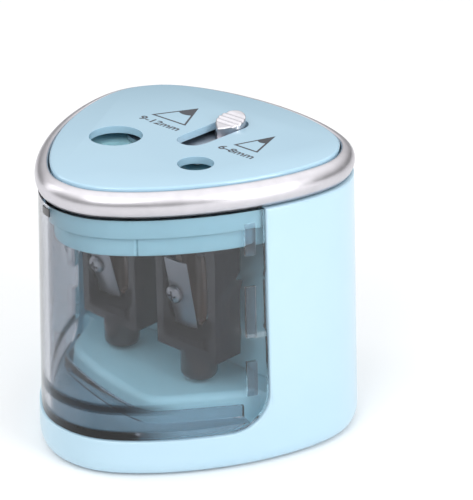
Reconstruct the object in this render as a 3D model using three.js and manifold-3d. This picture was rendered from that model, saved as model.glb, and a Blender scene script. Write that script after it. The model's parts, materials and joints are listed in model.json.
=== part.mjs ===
// Twin-hole battery pencil sharpener: a rounded-triangle tower with a clear shavings bin.
// Millimetres, +Z up, bin towards -Y, origin under the middle of the outline on the table.
import * as THREE from 'three';
import { mergeVertices } from 'three/addons/utils/BufferGeometryUtils.js';
import Module from 'manifold-3d';

const wasm = await Module();
wasm.setup();

// ---- driving dimensions -------------------------------------------------------------
const gap = 0.3; // clearance between neighbouring pieces
const outlineSegments = 60;
const triangleWave = 3.8; // threefold bulge that turns the circle into a rounded triangle
const cornerWave = -0.39; // sixfold term that softens the corners

const baseRadius = 42.2; // outline size where the skirt is widest
const neckRadius = 40.4; // outline size under the trim ring
const skirtZ = 4.5; // height of the widest level
const shellTopZ = 70.4;
const footStand = 0.8; // height of the base's underside above the table
const shellWall = 2.2;
const skirtInnerRadius = 38.6; // hollow under the base
const deckTopZ = 10.4;
const deckThickness = 1.4;
const plateauTopZ = 18.0; // battery bay's roof
const plateauRoof = 1.2;
const plateauEdge = 2.0; // softened edge of the bay's roof
const partitionY = 4.2; // wall behind the cutters
const partitionWall = 1.6;
const openingBackY = -4.7; // rear edge of the bin's opening
const openingCorner = 10; // radius of the opening's lower rear corners

const binInset = 0.5; // bin skin inside the housing's skin
const binWall = 1.8;
const binFloor = 1.6;
const binLipTopZ = 15.5;

const caseFloorZ = 59.6; // underside of the gear case
const caseRadius = 36.4;
const caseWall = 1.4;
const caseTopZ = 64.5;
const seamTurn = THREE.MathUtils.degToRad(43); // where the gear case's band is split
const frameRadius = 37.9;
const frameNeckRadius = 36.5;
const frameInnerRadius = 35.2;
const coverZ = 71.9; // underside of the gear cover
const coverThickness = 1.2;

const panelRadius = 36.7;
const panelZ = 75.7;
const panelTopZ = 77.7;
const ringInnerRadius = 37.1;
const ringBottomZ = 70.7;
const ringArc = { z: 73.6, halfWidth: 3.05, halfHeight: 3.45 };

const cutterY = -7.5;
const largeHole = { x: -13.4, radius: 6.9, coneTopZ: 57.0 };
const smallHole = { x: 15.0, radius: 4.6, coneTopZ: 54.0 };
const slot = { x: 3.3, width: 8.5, frontY: -0.25, pointY: 4.95, backY: 22.5 };
const shutter = { z: 73.6, thickness: 1.0, backY: 34.4, padY: 6.3 };

const gearModule = 0.8;
const pressureAngle = THREE.MathUtils.degToRad(20);
const teeth = {
  ring: 27, centralPinion: 14, centralWheel: 18, reductionPinion: 10, reductionWheel: 24, motor: 10,
};
const gearZ = { low: 61.3, lowTop: 65.3, middle: 65.9, middleTop: 68.3, high: 69.0, highTop: 71.0 };

const motor = { radius: 12.2, flat: 10.0, bottomZ: 30.0, topZ: 58.6 };
const cell = { radius: 7.1, length: 50.5, frontY: -18.2, bottomZ: 2.4, pitch: 14.9, middleX: 1.0 };
const door = { x0: -15.8, x1: 17.8, y0: -20.6, y1: 35.0, topZ: 2.0 };

// ---- colours ------------------------------------------------------------------------
const paint = (color, roughness, metalness = 0, opacity = 1) => {
  const material = new THREE.MeshStandardMaterial({ color, roughness, metalness });
  material.transparent = opacity < 1;
  material.opacity = opacity;
  return material;
};
const look = {
  shell: paint(0xc4ebfa, 0.3),
  panel: paint(0xbfe6f7, 0.12),
  inner: paint(0x9fd3e6, 0.35),
  satin: paint(0xc4c2c9, 0.3, 0.9),
  smoke: paint(0xa3abc0, 0.08, 0, 0.35),
  carrier: paint(0x2e2e36, 0.3),
  cone: paint(0x6b5246, 0.25, 0, 0.85),
  steel: paint(0xb9bcc2, 0.25, 1),
  brass: paint(0xc9a24a, 0.3, 1),
  gear: paint(0xf1efe6, 0.45),
  dark: paint(0x222226, 0.6),
  rubber: paint(0x3a3c40, 0.9),
  cellSkin: paint(0x5a6a72, 0.4),
  red: paint(0xb02a24, 0.5),
};

// ---- solids -------------------------------------------------------------------------
const toSolid = (geometry) => {
  const bare = geometry.clone();
  bare.deleteAttribute('normal');
  bare.deleteAttribute('uv');
  const merged = mergeVertices(bare, 1e-4);
  return new wasm.Manifold(new wasm.Mesh({
    numProp: 3,
    vertProperties: new Float32Array(merged.attributes.position.array),
    triVerts: new Uint32Array(merged.index.array),
  }));
};

const toGeometry = (solid) => {
  const mesh = solid.getMesh();
  const geometry = new THREE.BufferGeometry();
  geometry.setAttribute('position', new THREE.BufferAttribute(new Float32Array(mesh.vertProperties), 3));
  geometry.setIndex(new THREE.BufferAttribute(new Uint32Array(mesh.triVerts), 1));
  geometry.computeVertexNormals();
  return geometry;
};

const union = (...solids) => solids.reduce((sum, solid) => sum.add(solid));
const cut = (solid, ...tools) => tools.reduce((rest, tool) => rest.subtract(tool), solid);

const block = (x0, x1, y0, y1, z0, z1) => {
  const geometry = new THREE.BoxGeometry(x1 - x0, y1 - y0, z1 - z0);
  geometry.translate((x0 + x1) / 2, (y0 + y1) / 2, (z0 + z1) / 2);
  return toSolid(geometry);
};

const post = (radius, x, y, z0, z1, sides = 20, topRadius = radius) => {
  const geometry = new THREE.CylinderGeometry(topRadius, radius, z1 - z0, sides);
  geometry.rotateX(Math.PI / 2);
  geometry.translate(x, y, (z0 + z1) / 2);
  return toSolid(geometry);
};

// Solid of revolution about a vertical axis; the profile is [radius, height] pairs.
const turned = (profile, x, y, sides = 24) => {
  const points = profile.map(([r, z]) => new THREE.Vector2(r, z));
  const geometry = new THREE.LatheGeometry(points, sides);
  geometry.rotateX(Math.PI / 2);
  geometry.translate(x, y, 0);
  return toSolid(geometry);
};

const prism = (shape, z0, z1) => {
  const geometry = new THREE.ExtrudeGeometry(shape, {
    depth: z1 - z0, curveSegments: 5, bevelEnabled: false,
  });
  geometry.translate(0, 0, z0);
  return toSolid(geometry);
};

const roundedPolygon = (corners, radius) => {
  const shape = new THREE.Shape();
  corners.forEach((corner, i) => {
    const before = corners[(i + corners.length - 1) % corners.length];
    const after = corners[(i + 1) % corners.length];
    const start = corner.clone().add(before.clone().sub(corner).setLength(radius));
    const end = corner.clone().add(after.clone().sub(corner).setLength(radius));
    if (i === 0) shape.moveTo(start.x, start.y);
    else shape.lineTo(start.x, start.y);
    shape.quadraticCurveTo(corner.x, corner.y, end.x, end.y);
  });
  shape.closePath();
  return shape;
};

// Convex block whose plan shrinks with height; levels are [inset, height] pairs.
const taperedBlock = (corners, radius, levels) => {
  const rings = levels.map(([inset, z]) => {
    const plan = roundedPolygon(grown(corners, -inset), radius).extractPoints(3).shape;
    return plan.map((point) => [point.x, point.y, z]);
  });
  return skinned(rings, false);
};

const roundedRectangle = (x0, x1, y0, y1, radius) => {
  const corners = [[x0, y0], [x1, y0], [x1, y1], [x0, y1]];
  return roundedPolygon(corners.map(([x, y]) => new THREE.Vector2(x, y)), radius);
};

// Moves every edge of a convex polygon outwards by the distance.
const grown = (corners, distance) => corners.map((corner, i) => {
  const before = corners[(i + corners.length - 1) % corners.length];
  const after = corners[(i + 1) % corners.length];
  const inEdge = corner.clone().sub(before).normalize();
  const outEdge = after.clone().sub(corner).normalize();
  const inNormal = new THREE.Vector2(inEdge.y, -inEdge.x);
  const outNormal = new THREE.Vector2(outEdge.y, -outEdge.x);
  const middle = inNormal.clone().add(outNormal).normalize();
  return corner.clone().add(middle.multiplyScalar(distance / middle.dot(inNormal)));
});

// ---- the rounded-triangle outline ---------------------------------------------------
// Support function: radius plus a threefold and a sixfold wave; its offsets stay parallel.
const outlinePoint = (radius, turn) => {
  const reach = radius + triangleWave * Math.cos(3 * turn) + cornerWave * Math.cos(6 * turn);
  const slope = -3 * triangleWave * Math.sin(3 * turn) - 6 * cornerWave * Math.sin(6 * turn);
  const normal = new THREE.Vector2(Math.sin(turn), -Math.cos(turn));
  const tangent = new THREE.Vector2(Math.cos(turn), Math.sin(turn));
  const middle = new THREE.Vector2(0, triangleWave);
  return normal.multiplyScalar(reach).add(tangent.multiplyScalar(slope)).add(middle);
};

const outlineAt = ([radius, z]) => Array.from({ length: outlineSegments }, (_, i) => {
  const point = outlinePoint(radius, (i / outlineSegments) * 2 * Math.PI);
  return [point.x, point.y, z];
});

// Joins rings of equal point count into a skin; open stacks get a flat cap at each end.
const skinned = (rings, closedLoop) => {
  const count = rings[0].length;
  const positions = rings.flat();
  const indices = [];
  const bands = closedLoop ? rings.length : rings.length - 1;
  for (let k = 0; k < bands; k += 1) {
    const lower = k * count;
    const upper = ((k + 1) % rings.length) * count;
    for (let i = 0; i < count; i += 1) {
      const next = (i + 1) % count;
      indices.push(lower + i, lower + next, upper + next, lower + i, upper + next, upper + i);
    }
  }
  if (!closedLoop) {
    const last = (rings.length - 1) * count;
    const bottom = positions.length;
    positions.push([0, 0, rings[0][0][2]], [0, 0, rings[rings.length - 1][0][2]]);
    for (let i = 0; i < count; i += 1) {
      const next = (i + 1) % count;
      indices.push(bottom, next, i, bottom + 1, last + i, last + next);
    }
  }
  const geometry = new THREE.BufferGeometry();
  geometry.setAttribute('position', new THREE.Float32BufferAttribute(positions.flat(), 3));
  geometry.setIndex(indices);
  return toSolid(geometry);
};

// Stack of outlines from the lowest to the highest, closed at both ends.
const outlineSolid = (levels) => skinned(levels.map(outlineAt), false);
// Closed [radius, height] loop, outer side going up, carried round the outline.
const outlineRing = (loop) => skinned(loop.map(outlineAt), true);

const bodyRadius = (z) => {
  const share = (z - skirtZ) / (shellTopZ - skirtZ);
  return baseRadius - share * (baseRadius - neckRadius);
};

// ---- base housing -------------------------------------------------------------------
const plateauCorners = [
  [-33, -1], [-25, -17.2], [-4, -23.7], [15, -25.2], [27, -9.8], [33.5, -1],
].map(([x, y]) => new THREE.Vector2(x, y));

// Everything in front of the opening's rear edge and above its floor, with the lower rear corner rounded.
const openingSolid = (clearance, bottomZ) => {
  const backY = openingBackY - clearance;
  const corner = openingCorner - clearance;
  const far = 60;
  const top = 100;
  const shape = new THREE.Shape();
  shape.moveTo(-far, bottomZ);
  shape.lineTo(backY - corner, bottomZ);
  shape.absarc(backY - corner, bottomZ + corner, corner, -Math.PI / 2, 0, false);
  shape.lineTo(backY, top);
  shape.lineTo(-far, top);
  shape.closePath();
  const geometry = new THREE.ExtrudeGeometry(shape, {
    depth: 2 * far, bevelEnabled: false, curveSegments: 10,
  });
  const sideways = new THREE.Matrix4().makeBasis(
    new THREE.Vector3(0, 1, 0), new THREE.Vector3(0, 0, 1), new THREE.Vector3(1, 0, 0));
  geometry.applyMatrix4(sideways);
  geometry.translate(-far, 0, 0);
  return toSolid(geometry);
};

const baseScrews = [[-24, -8], [25, -8], [-22.5, 29.5], [24, 29.5]];
const baseFeet = [[0, -29.5], [-29, 19], [29, 19]];
const wireHoles = [[-5, 24.8], [7, 24.8]];
const screwBoss = { radius: 3.6, bottomZ: 4.6, pilotRadius: 1.6 };
const bay = {
  topZ: plateauTopZ - plateauRoof,
  rearY: -0.6, // the full-width rear part begins here
  midX: 28,
  ribs: [[-16.0, -14.8], [16.8, 18.0]], // x ranges of the two walls beside the cells
  ribFrontY: -15,
  ribBackY: 33,
  ribBottomZ: 3.2,
};
const wide = 50; // half-width of a block that reaches past the outline

const buildShell = () => {
  const skin = outlineSolid([
    [baseRadius - 1.8, footStand], [baseRadius - 0.8, footStand + 0.8],
    [baseRadius - 0.2, footStand + 2], [baseRadius, skirtZ], [neckRadius, shellTopZ],
  ]);
  const roomTop = shellTopZ + 1;
  const room = outlineSolid([
    [bodyRadius(deckTopZ) - shellWall, deckTopZ], [bodyRadius(roomTop) - shellWall, roomTop]]);
  return cut(skin, room, openingSolid(0, deckTopZ));
};

const buildRoof = () => {
  const softenedZ = plateauTopZ - plateauEdge;
  const sunkZ = deckTopZ - 2;
  const front = taperedBlock(plateauCorners, 3, [
    [0, sunkZ], [0, softenedZ], [0.3 * plateauEdge, plateauTopZ - 0.3 * plateauEdge],
    [plateauEdge, plateauTopZ]]);
  const inside = outlineSolid([[baseRadius - 3, sunkZ], [neckRadius - 1, shellTopZ]]);
  return front.add(block(-wide, wide, -2, wide, sunkZ, plateauTopZ).intersect(inside));
};

const buildBay = () => {
  const front = prism(roundedPolygon(grown(plateauCorners, -1.8), 2), 1, bay.topZ);
  const middle = block(-bay.midX, bay.midX, -6, 2, 1, bay.topZ);
  const rear = outlineSolid([[skirtInnerRadius, 1], [skirtInnerRadius - 1, bay.topZ]])
    .intersect(block(-wide, wide, bay.rearY, wide, 0, bay.topZ));
  return union(front, middle, rear);
};

const buildHousing = () => {
  const underside = outlineSolid([[skirtInnerRadius, 0], [skirtInnerRadius, deckTopZ - deckThickness]]);
  const shell = cut(union(buildShell(), buildRoof()), underside, buildBay());
  const rootedZ = bay.topZ + 0.2;
  const ribs = bay.ribs.map(([x0, x1]) =>
    block(x0, x1, bay.ribFrontY, bay.ribBackY, bay.ribBottomZ, rootedZ));
  const bosses = baseScrews.map(([x, y]) => post(screwBoss.radius, x, y, screwBoss.bottomZ, rootedZ));
  const pilots = baseScrews.map(([x, y]) => post(screwBoss.pilotRadius, x, y, 4, deckTopZ - 1.6, 14));
  const wires = wireHoles.map(([x, y]) => post(1.5, x, y, bay.topZ - 1, plateauTopZ + 1, 14));
  return cut(union(shell, ...ribs, ...bosses), ...pilots, ...wires);
};

// ---- base plate, door, screws -------------------------------------------------------
const baseScrew = { headZ: 1.0, headRadius: 2.7, headHeight: 1.7, shankRadius: 1.3, tipZ: 8.4 };
const coverScrew = { headZ: 74.6, headRadius: 2.5, headHeight: 1.3, shankRadius: 1.2, tipZ: 65 };
const foot = { radius: 4.4, height: 1.3 };

const buildBasePlate = () => {
  const radius = skirtInnerRadius - gap;
  const plate = outlineSolid([[radius, footStand], [radius, 2.2]]);
  const collars = baseScrews.map(([x, y]) => post(4.4, x, y, 1.4, 4.3));
  const heads = baseScrews.map(([x, y]) => post(baseScrew.headRadius + 0.4, x, y, 0, 3.1));
  const shanks = baseScrews.map(([x, y]) => post(baseScrew.shankRadius + 0.4, x, y, 0, 6, 14));
  const pockets = baseFeet.map(([x, y]) => post(foot.radius + 0.4, x, y, 0, foot.height + 0.2));
  const hatch = roundedRectangle(door.x0 - gap, door.x1 + gap, door.y0 - gap, door.y1 + gap, 3);
  return cut(union(plate, ...collars), ...heads, ...shanks, ...pockets, prism(hatch, 0, 6));
};

const buildDoor = () => {
  const plate = prism(roundedRectangle(door.x0, door.x1, door.y0, door.y1, 3), footStand, door.topZ);
  const middle = (door.x0 + door.x1) / 2;
  const grooves = [4, 6, 8].map((y) =>
    block(middle - 6, middle + 6, door.y0 + y, door.y0 + y + 1, 0, 1.2));
  return cut(plate, ...grooves);
};

// Cross-head screw whose shank points up, or down when its tip is below its head.
const buildScrew = (x, y, { headZ, headRadius, headHeight, shankRadius, tipZ }) => {
  const rise = Math.sign(tipZ - headZ);
  const upright = (radius, z0, z1, sides) => post(radius, x, y, Math.min(z0, z1), Math.max(z0, z1), sides);
  const head = upright(headRadius, headZ, headZ + rise * headHeight, 20);
  const shank = upright(shankRadius, headZ + rise * (headHeight - 0.1), tipZ, 12);
  const arm = headRadius * 0.62;
  const half = 0.35;
  const cross = union(
    block(x - arm, x + arm, y - half, y + half, headZ - 0.6, headZ + 0.6),
    block(x - half, x + half, y - arm, y + arm, headZ - 0.6, headZ + 0.6));
  return cut(union(head, shank), cross);
};

// ---- shavings bin -------------------------------------------------------------------
const buildBin = () => {
  const bottomZ = deckTopZ + gap;
  const topZ = shellTopZ;
  const outer = (z) => bodyRadius(z) - binInset;
  const skin = outlineSolid([[outer(bottomZ), bottomZ], [outer(topZ), topZ]]);
  const hollow = outlineSolid([
    [outer(bottomZ) - binWall, bottomZ + binFloor], [outer(topZ + 1) - binWall, topZ + 1]]);
  const lip = prism(roundedPolygon(grown(plateauCorners, 2.2), 4), bottomZ + 0.2, binLipTopZ);
  const around = prism(roundedPolygon(grown(plateauCorners, 1.1), 3), 0, 40);
  const bin = cut(union(cut(skin, hollow), lip), around);
  return bin.intersect(openingSolid(gap, bottomZ - 0.01));
};

// ---- inside walls and gear case -----------------------------------------------------
const buildPartition = () => {
  const wall = block(
    -wide, wide, partitionY, partitionY + partitionWall, plateauTopZ + gap, caseFloorZ - 0.4);
  const reach = (z) => [bodyRadius(z) - shellWall - gap, z];
  return wall.intersect(outlineSolid([reach(10), reach(65)]));
};

const holes = [largeHole, smallHole];
const centralDistance = (teeth.ring + teeth.centralPinion) * gearModule / 2;
const halfSpacing = (smallHole.x - largeHole.x) / 2;
const central = new THREE.Vector2(
  (largeHole.x + smallHole.x) / 2, cutterY + Math.sqrt(centralDistance ** 2 - halfSpacing ** 2));
const reductionTurn = THREE.MathUtils.degToRad(105);
const reductionDistance = (teeth.centralWheel + teeth.reductionPinion) * gearModule / 2;
const reduction = new THREE.Vector2(Math.cos(reductionTurn), Math.sin(reductionTurn))
  .multiplyScalar(reductionDistance).add(central);
const motorDistance = (teeth.reductionWheel + teeth.motor) * gearModule / 2;
const motorAxis = new THREE.Vector2(
  central.x, reduction.y + Math.sqrt(motorDistance ** 2 - (central.x - reduction.x) ** 2));

const hubRadius = 9.0;
const coverScrews = [[0.8, -27], [-24, 20], [25, 20]];
const coverBoss = { radius: 2.8, pilotRadius: 1.5, pilotDepth: 8 };

const buildCase = () => {
  const bossTop = coverZ - 0.2;
  const wall = outlineRing([
    [caseRadius - caseWall, caseFloorZ], [caseRadius, caseFloorZ],
    [caseRadius, caseTopZ], [caseRadius - caseWall, caseTopZ]]);
  const floorRadius = caseRadius - 0.2;
  const floor = outlineSolid([[floorRadius, caseFloorZ], [floorRadius, caseFloorZ + caseWall]]);
  const bosses = coverScrews.map(([x, y]) => post(coverBoss.radius, x, y, caseFloorZ + 1, bossTop));
  const pilots = coverScrews.map(([x, y]) =>
    post(coverBoss.pilotRadius, x, y, bossTop - coverBoss.pilotDepth, bossTop + 1, 14));
  const journals = holes.map((hole) => post(hubRadius + gap, hole.x, cutterY, 0, caseTopZ, 28));
  const shaftHole = post(3.4, motorAxis.x, motorAxis.y, 0, caseTopZ);
  const { x: seamX, y: seamY } = outlinePoint(caseRadius, seamTurn);
  const seam = block(seamX - 0.25, seamX + 0.25, seamY - 1, seamY + 0.6, caseFloorZ - 1, caseTopZ + 1);
  return cut(union(wall, floor, ...bosses), ...journals, shaftHole, ...pilots, seam);
};

const buildFrame = () => outlineRing([
  [frameInnerRadius, caseTopZ + gap], [frameRadius, caseTopZ + gap], [frameRadius, shellTopZ - 0.1],
  [frameNeckRadius, shellTopZ + 0.2], [frameNeckRadius, panelZ - gap], [frameInnerRadius, panelZ - gap]]);

const tube = { clearance: 0.2, wall: 0.9, slitHalf: 1.2, slitZ: 67, slitTopZ: 71 };
const buildCover = () => {
  const topZ = coverZ + coverThickness;
  const radius = frameInnerRadius - gap;
  const plate = outlineSolid([[radius, coverZ], [radius, topZ]]);
  const tubes = holes.map((hole) =>
    post(hole.radius + tube.clearance + tube.wall, hole.x, cutterY, gearZ.middle + 0.1, coverZ + 0.5, 28));
  const bores = holes.map((hole) => post(hole.radius + tube.clearance, hole.x, cutterY, 60, topZ + 1, 28));
  const slit = (x0, x1) =>
    block(x0, x1, cutterY - tube.slitHalf, cutterY + tube.slitHalf, tube.slitZ, tube.slitTopZ);
  const slits = [slit(largeHole.x - 9, largeHole.x - 5), slit(smallHole.x + 3, smallHole.x + 7)];
  const shanks = coverScrews.map(([x, y]) => post(1.7, x, y, 60, topZ + 1, 14));
  return cut(union(plate, ...tubes), ...bores, ...slits, ...shanks);
};

// ---- top panel, ring, slider --------------------------------------------------------
// Plan of the slot: pointed at the front, round at the back.
const slotShape = () => {
  const { x, frontY: front, backY: back, pointY: straight } = slot;
  const half = slot.width / 2;
  const shape = new THREE.Shape();
  shape.moveTo(x, front);
  shape.quadraticCurveTo(x + half, front + 0.9, x + half, straight);
  shape.lineTo(x + half, back - half);
  shape.absarc(x, back - half, half, 0, Math.PI, false);
  shape.lineTo(x - half, straight);
  shape.quadraticCurveTo(x - half, front + 0.9, x, front);
  return shape;
};

const holeRim = { flare: 1.0, depth: 0.9 };
const buildPanel = () => {
  const plate = outlineSolid([
    [panelRadius, panelZ], [panelRadius, panelTopZ - 0.6],
    [panelRadius - 0.3, panelTopZ - 0.15], [panelRadius - 0.9, panelTopZ]]);
  const bores = holes.map((hole) => post(hole.radius, hole.x, cutterY, panelZ - 1, panelTopZ + 1, 28));
  const rims = holes.map((hole) => post(
    hole.radius - 0.2, hole.x, cutterY, panelTopZ - holeRim.depth, panelTopZ + 0.3, 28,
    hole.radius + holeRim.flare));
  return cut(plate, ...bores, ...rims, prism(slotShape(), panelZ - 1, panelTopZ + 1));
};

const buildRing = () => {
  const centreRadius = ringInnerRadius + 0.2;
  const loop = [[ringInnerRadius, ringBottomZ], [centreRadius + 1.6, ringBottomZ]];
  const arcSteps = 5;
  for (let i = 0; i <= arcSteps; i += 1) {
    const turn = -0.9 + (i / arcSteps) * (Math.PI / 2 + 0.9);
    loop.push([
      centreRadius + 0.2 + ringArc.halfWidth * Math.cos(turn),
      ringArc.z + ringArc.halfHeight * Math.sin(turn)]);
  }
  loop.push([ringInnerRadius, ringArc.z + ringArc.halfHeight]);
  return outlineRing(loop);
};

const knob = {
  back: slot.backY - 1.0,
  radius: 4.0,
  length: 8.8,
  frontRise: 0.4, // height above the panel at the tip and at the back
  backRise: 2.9,
  grooves: 5,
  grooveY: 2.6,
  groovePitch: 1.3,
};
const buildKnob = () => {
  const middleY = knob.back - knob.radius;
  const tipY = knob.back - knob.length;
  const shape = new THREE.Shape();
  shape.moveTo(slot.x, tipY);
  shape.quadraticCurveTo(slot.x + knob.radius, tipY + 0.9, slot.x + knob.radius, middleY);
  shape.absarc(slot.x, middleY, knob.radius, 0, Math.PI, false);
  shape.quadraticCurveTo(slot.x - knob.radius, tipY + 0.9, slot.x, tipY);
  const slopeAngle = Math.atan2(knob.backRise - knob.frontRise, knob.length);
  const slanted = (geometry) => {
    geometry.rotateX(slopeAngle);
    geometry.translate(slot.x, tipY, panelTopZ + knob.frontRise);
    return toSolid(geometry);
  };
  const above = new THREE.BoxGeometry(20, 40, 10);
  above.translate(0, 0, 5);
  const grooves = Array.from({ length: knob.grooves }, (_, i) => {
    const groove = new THREE.BoxGeometry(20, 0.55, 1.0);
    groove.translate(0, knob.grooveY + knob.groovePitch * i, 0);
    return slanted(groove);
  });
  return cut(prism(shape, shutter.z + shutter.thickness + gap, panelTopZ + 6), slanted(above), ...grooves);
};

const buildShutter = () => {
  const z1 = shutter.z + shutter.thickness;
  const { x, frontY } = slot;
  const plan = roundedRectangle(x - 6.2, x + 6.2, frontY - 1, shutter.backY, 2);
  const strip = prism(plan, shutter.z, z1);
  const pad = post(largeHole.radius + 0.15, largeHole.x, shutter.padY, shutter.z, z1, 28);
  const arm = block(largeHole.x, x - 5, shutter.padY - 4, shutter.padY + 5, shutter.z, z1);
  return union(strip, pad, arm);
};

// ---- gears --------------------------------------------------------------------------
const involute = (angle) => Math.tan(angle) - angle;

const gearShape = (count, turn, boreRadius) => {
  const pitchRadius = count * gearModule / 2;
  const rootRadius = pitchRadius - 1.15 * gearModule;
  const tipRadius = pitchRadius + 0.85 * gearModule;
  const baseCircle = pitchRadius * Math.cos(pressureAngle);
  const playAngle = 0.09 / pitchRadius;
  const halfAtPitch = Math.PI / (2 * count) - playAngle;
  const halfAt = (radius) => {
    const reach = Math.max(radius, baseCircle);
    return halfAtPitch + involute(pressureAngle) - involute(Math.acos(baseCircle / reach));
  };
  const flank = [rootRadius, pitchRadius, tipRadius];
  const points = [];
  for (let i = 0; i < count; i += 1) {
    const middle = turn + (i * 2 * Math.PI) / count;
    const place = (radius, side) => {
      const angle = middle + side * halfAt(radius);
      points.push(new THREE.Vector2(radius * Math.cos(angle), radius * Math.sin(angle)));
    };
    flank.forEach((radius) => place(radius, -1));
    [...flank].reverse().forEach((radius) => place(radius, 1));
  }
  const shape = new THREE.Shape(points);
  const bore = new THREE.Path();
  bore.absarc(0, 0, boreRadius, 0, 2 * Math.PI, true);
  shape.holes.push(bore);
  return shape;
};

const gear = (count, turn, boreRadius, centre, z0, z1) => {
  const geometry = new THREE.ExtrudeGeometry(gearShape(count, turn, boreRadius), {
    depth: z1 - z0, bevelEnabled: false, curveSegments: 8 });
  geometry.translate(centre.x, centre.y, z0);
  return toSolid(geometry);
};

// Tooth phase of a driven gear so that its gaps face the driver's teeth.
const meshTurn = (driverCentre, driverTeeth, driverTurn, centre, count) => {
  const towards = Math.atan2(centre.y - driverCentre.y, centre.x - driverCentre.x);
  const share = ((towards - driverTurn) * driverTeeth) / (2 * Math.PI);
  return towards + Math.PI - ((0.5 - share) * 2 * Math.PI) / count;
};

const pinRadius = 1.5;
const pinBore = 1.6;
const centralPinionTurn = 0;
const centralWheelTurn = 0;
const reductionPinionTurn = meshTurn(
  central, teeth.centralWheel, centralWheelTurn, reduction, teeth.reductionPinion);
const reductionWheelTurn = 0;
const motorTurn = meshTurn(reduction, teeth.reductionWheel, reductionWheelTurn, motorAxis, teeth.motor);

const buildRingGear = (hole) => {
  const centre = new THREE.Vector2(hole.x, cutterY);
  const turn = meshTurn(central, teeth.centralPinion, centralPinionTurn, centre, teeth.ring);
  const bore = hole.radius + gap;
  const wheel = gear(teeth.ring, turn, bore, centre, gearZ.low, gearZ.lowTop);
  const hub = cut(post(hubRadius, hole.x, cutterY, caseFloorZ - 0.1, gearZ.low + 0.5, 28),
    post(bore, hole.x, cutterY, 50, 70, 28));
  return union(wheel, hub);
};

const buildCentralGear = () => union(
  gear(teeth.centralPinion, centralPinionTurn, pinBore, central, gearZ.low, gearZ.middle + 0.2),
  gear(teeth.centralWheel, centralWheelTurn, pinBore, central, gearZ.middle, gearZ.middleTop));

const buildReductionGear = () => {
  const { x, y } = reduction;
  const sleeve = cut(post(2.8, x, y, gearZ.low, gearZ.middle + 0.2, 16), post(pinBore, x, y, 60, 70, 28));
  return union(
    sleeve,
    gear(teeth.reductionPinion, reductionPinionTurn, pinBore, reduction, gearZ.middle, gearZ.high + 0.2),
    gear(teeth.reductionWheel, reductionWheelTurn, pinBore, reduction, gearZ.high, gearZ.highTop));
};

// ---- cutters ------------------------------------------------------------------------
const cutterTipZ = 34;
const tipRadius = 0.8;
const guideWall = 1.1;
const cageHalfWidth = 10.3;
const cageHalfDepth = 4.6;
const cageBottomZ = 27;
const flangeZ = 57.4;
const bladeWidth = 7.4;
const bladeThickness = 0.6;
const bladeStart = -1.4;
const bladeEnd = 18.4;
const bladeScrew = { u: -5.15, l: 8.0 };

const cutterFrame = (hole) => {
  const lean = Math.atan2(hole.radius - tipRadius, hole.coneTopZ - cutterTipZ);
  const frame = new THREE.Matrix4().makeBasis(
    new THREE.Vector3(1, 0, 0),
    new THREE.Vector3(0, -Math.sin(lean), Math.cos(lean)),
    new THREE.Vector3(0, -Math.cos(lean), -Math.sin(lean)));
  return frame.setPosition(hole.x, cutterY - tipRadius, cutterTipZ);
};

// Box and post laid on the blade's plane: across, along the edge, out of the plane.
const onBlade = (hole, u0, u1, l0, l1, n0, n1) => {
  const geometry = new THREE.BoxGeometry(u1 - u0, l1 - l0, n1 - n0);
  geometry.translate((u0 + u1) / 2, (l0 + l1) / 2, (n0 + n1) / 2);
  return toSolid(geometry.applyMatrix4(cutterFrame(hole)));
};
const postOnBlade = (hole, radius, n0, n1, sides = 20) => {
  const geometry = new THREE.CylinderGeometry(radius, radius, n1 - n0, sides);
  geometry.rotateX(Math.PI / 2);
  geometry.translate(bladeScrew.u, bladeScrew.l, (n0 + n1) / 2);
  return toSolid(geometry.applyMatrix4(cutterFrame(hole)));
};

const coneProfile = (hole, extra, topZ) => [
  [tipRadius + extra, cutterTipZ], [hole.radius + extra, hole.coneTopZ], [hole.radius + extra, topZ]];

const chipWindow = (hole) => onBlade(hole, 0.5, 7.6, 1, 30, -1.9, 14);

const buildGuide = (hole) => {
  const topZ = flangeZ - gap;
  const outside = coneProfile(hole, guideWall, topZ + (hole.coneTopZ < topZ ? 0 : 0.1));
  const inside = coneProfile(hole, 0, topZ + 2);
  const shell = cut(
    turned([[0, cutterTipZ], ...outside, [0, outside[2][1]]], hole.x, cutterY),
    turned([[0, cutterTipZ - 1], [tipRadius, cutterTipZ - 1], ...inside, [0, topZ + 2]], hole.x, cutterY));
  return cut(shell, onBlade(hole, -12, 12, -3, 40, -0.3, 14), chipWindow(hole));
};

const stub = { radius: 4.8, round: 2, bottomZ: plateauTopZ + 0.9, steps: 5 };
const stubProfile = () => {
  const topZ = cageBottomZ + 0.5;
  const profile = [[0, stub.bottomZ]];
  for (let i = 0; i <= stub.steps; i += 1) {
    const turn = (i / stub.steps) * (Math.PI / 2);
    profile.push([
      stub.radius - stub.round + stub.round * Math.sin(turn),
      stub.bottomZ + stub.round - stub.round * Math.cos(turn)]);
  }
  return [...profile, [stub.radius, topZ], [0, topZ]];
};

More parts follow.
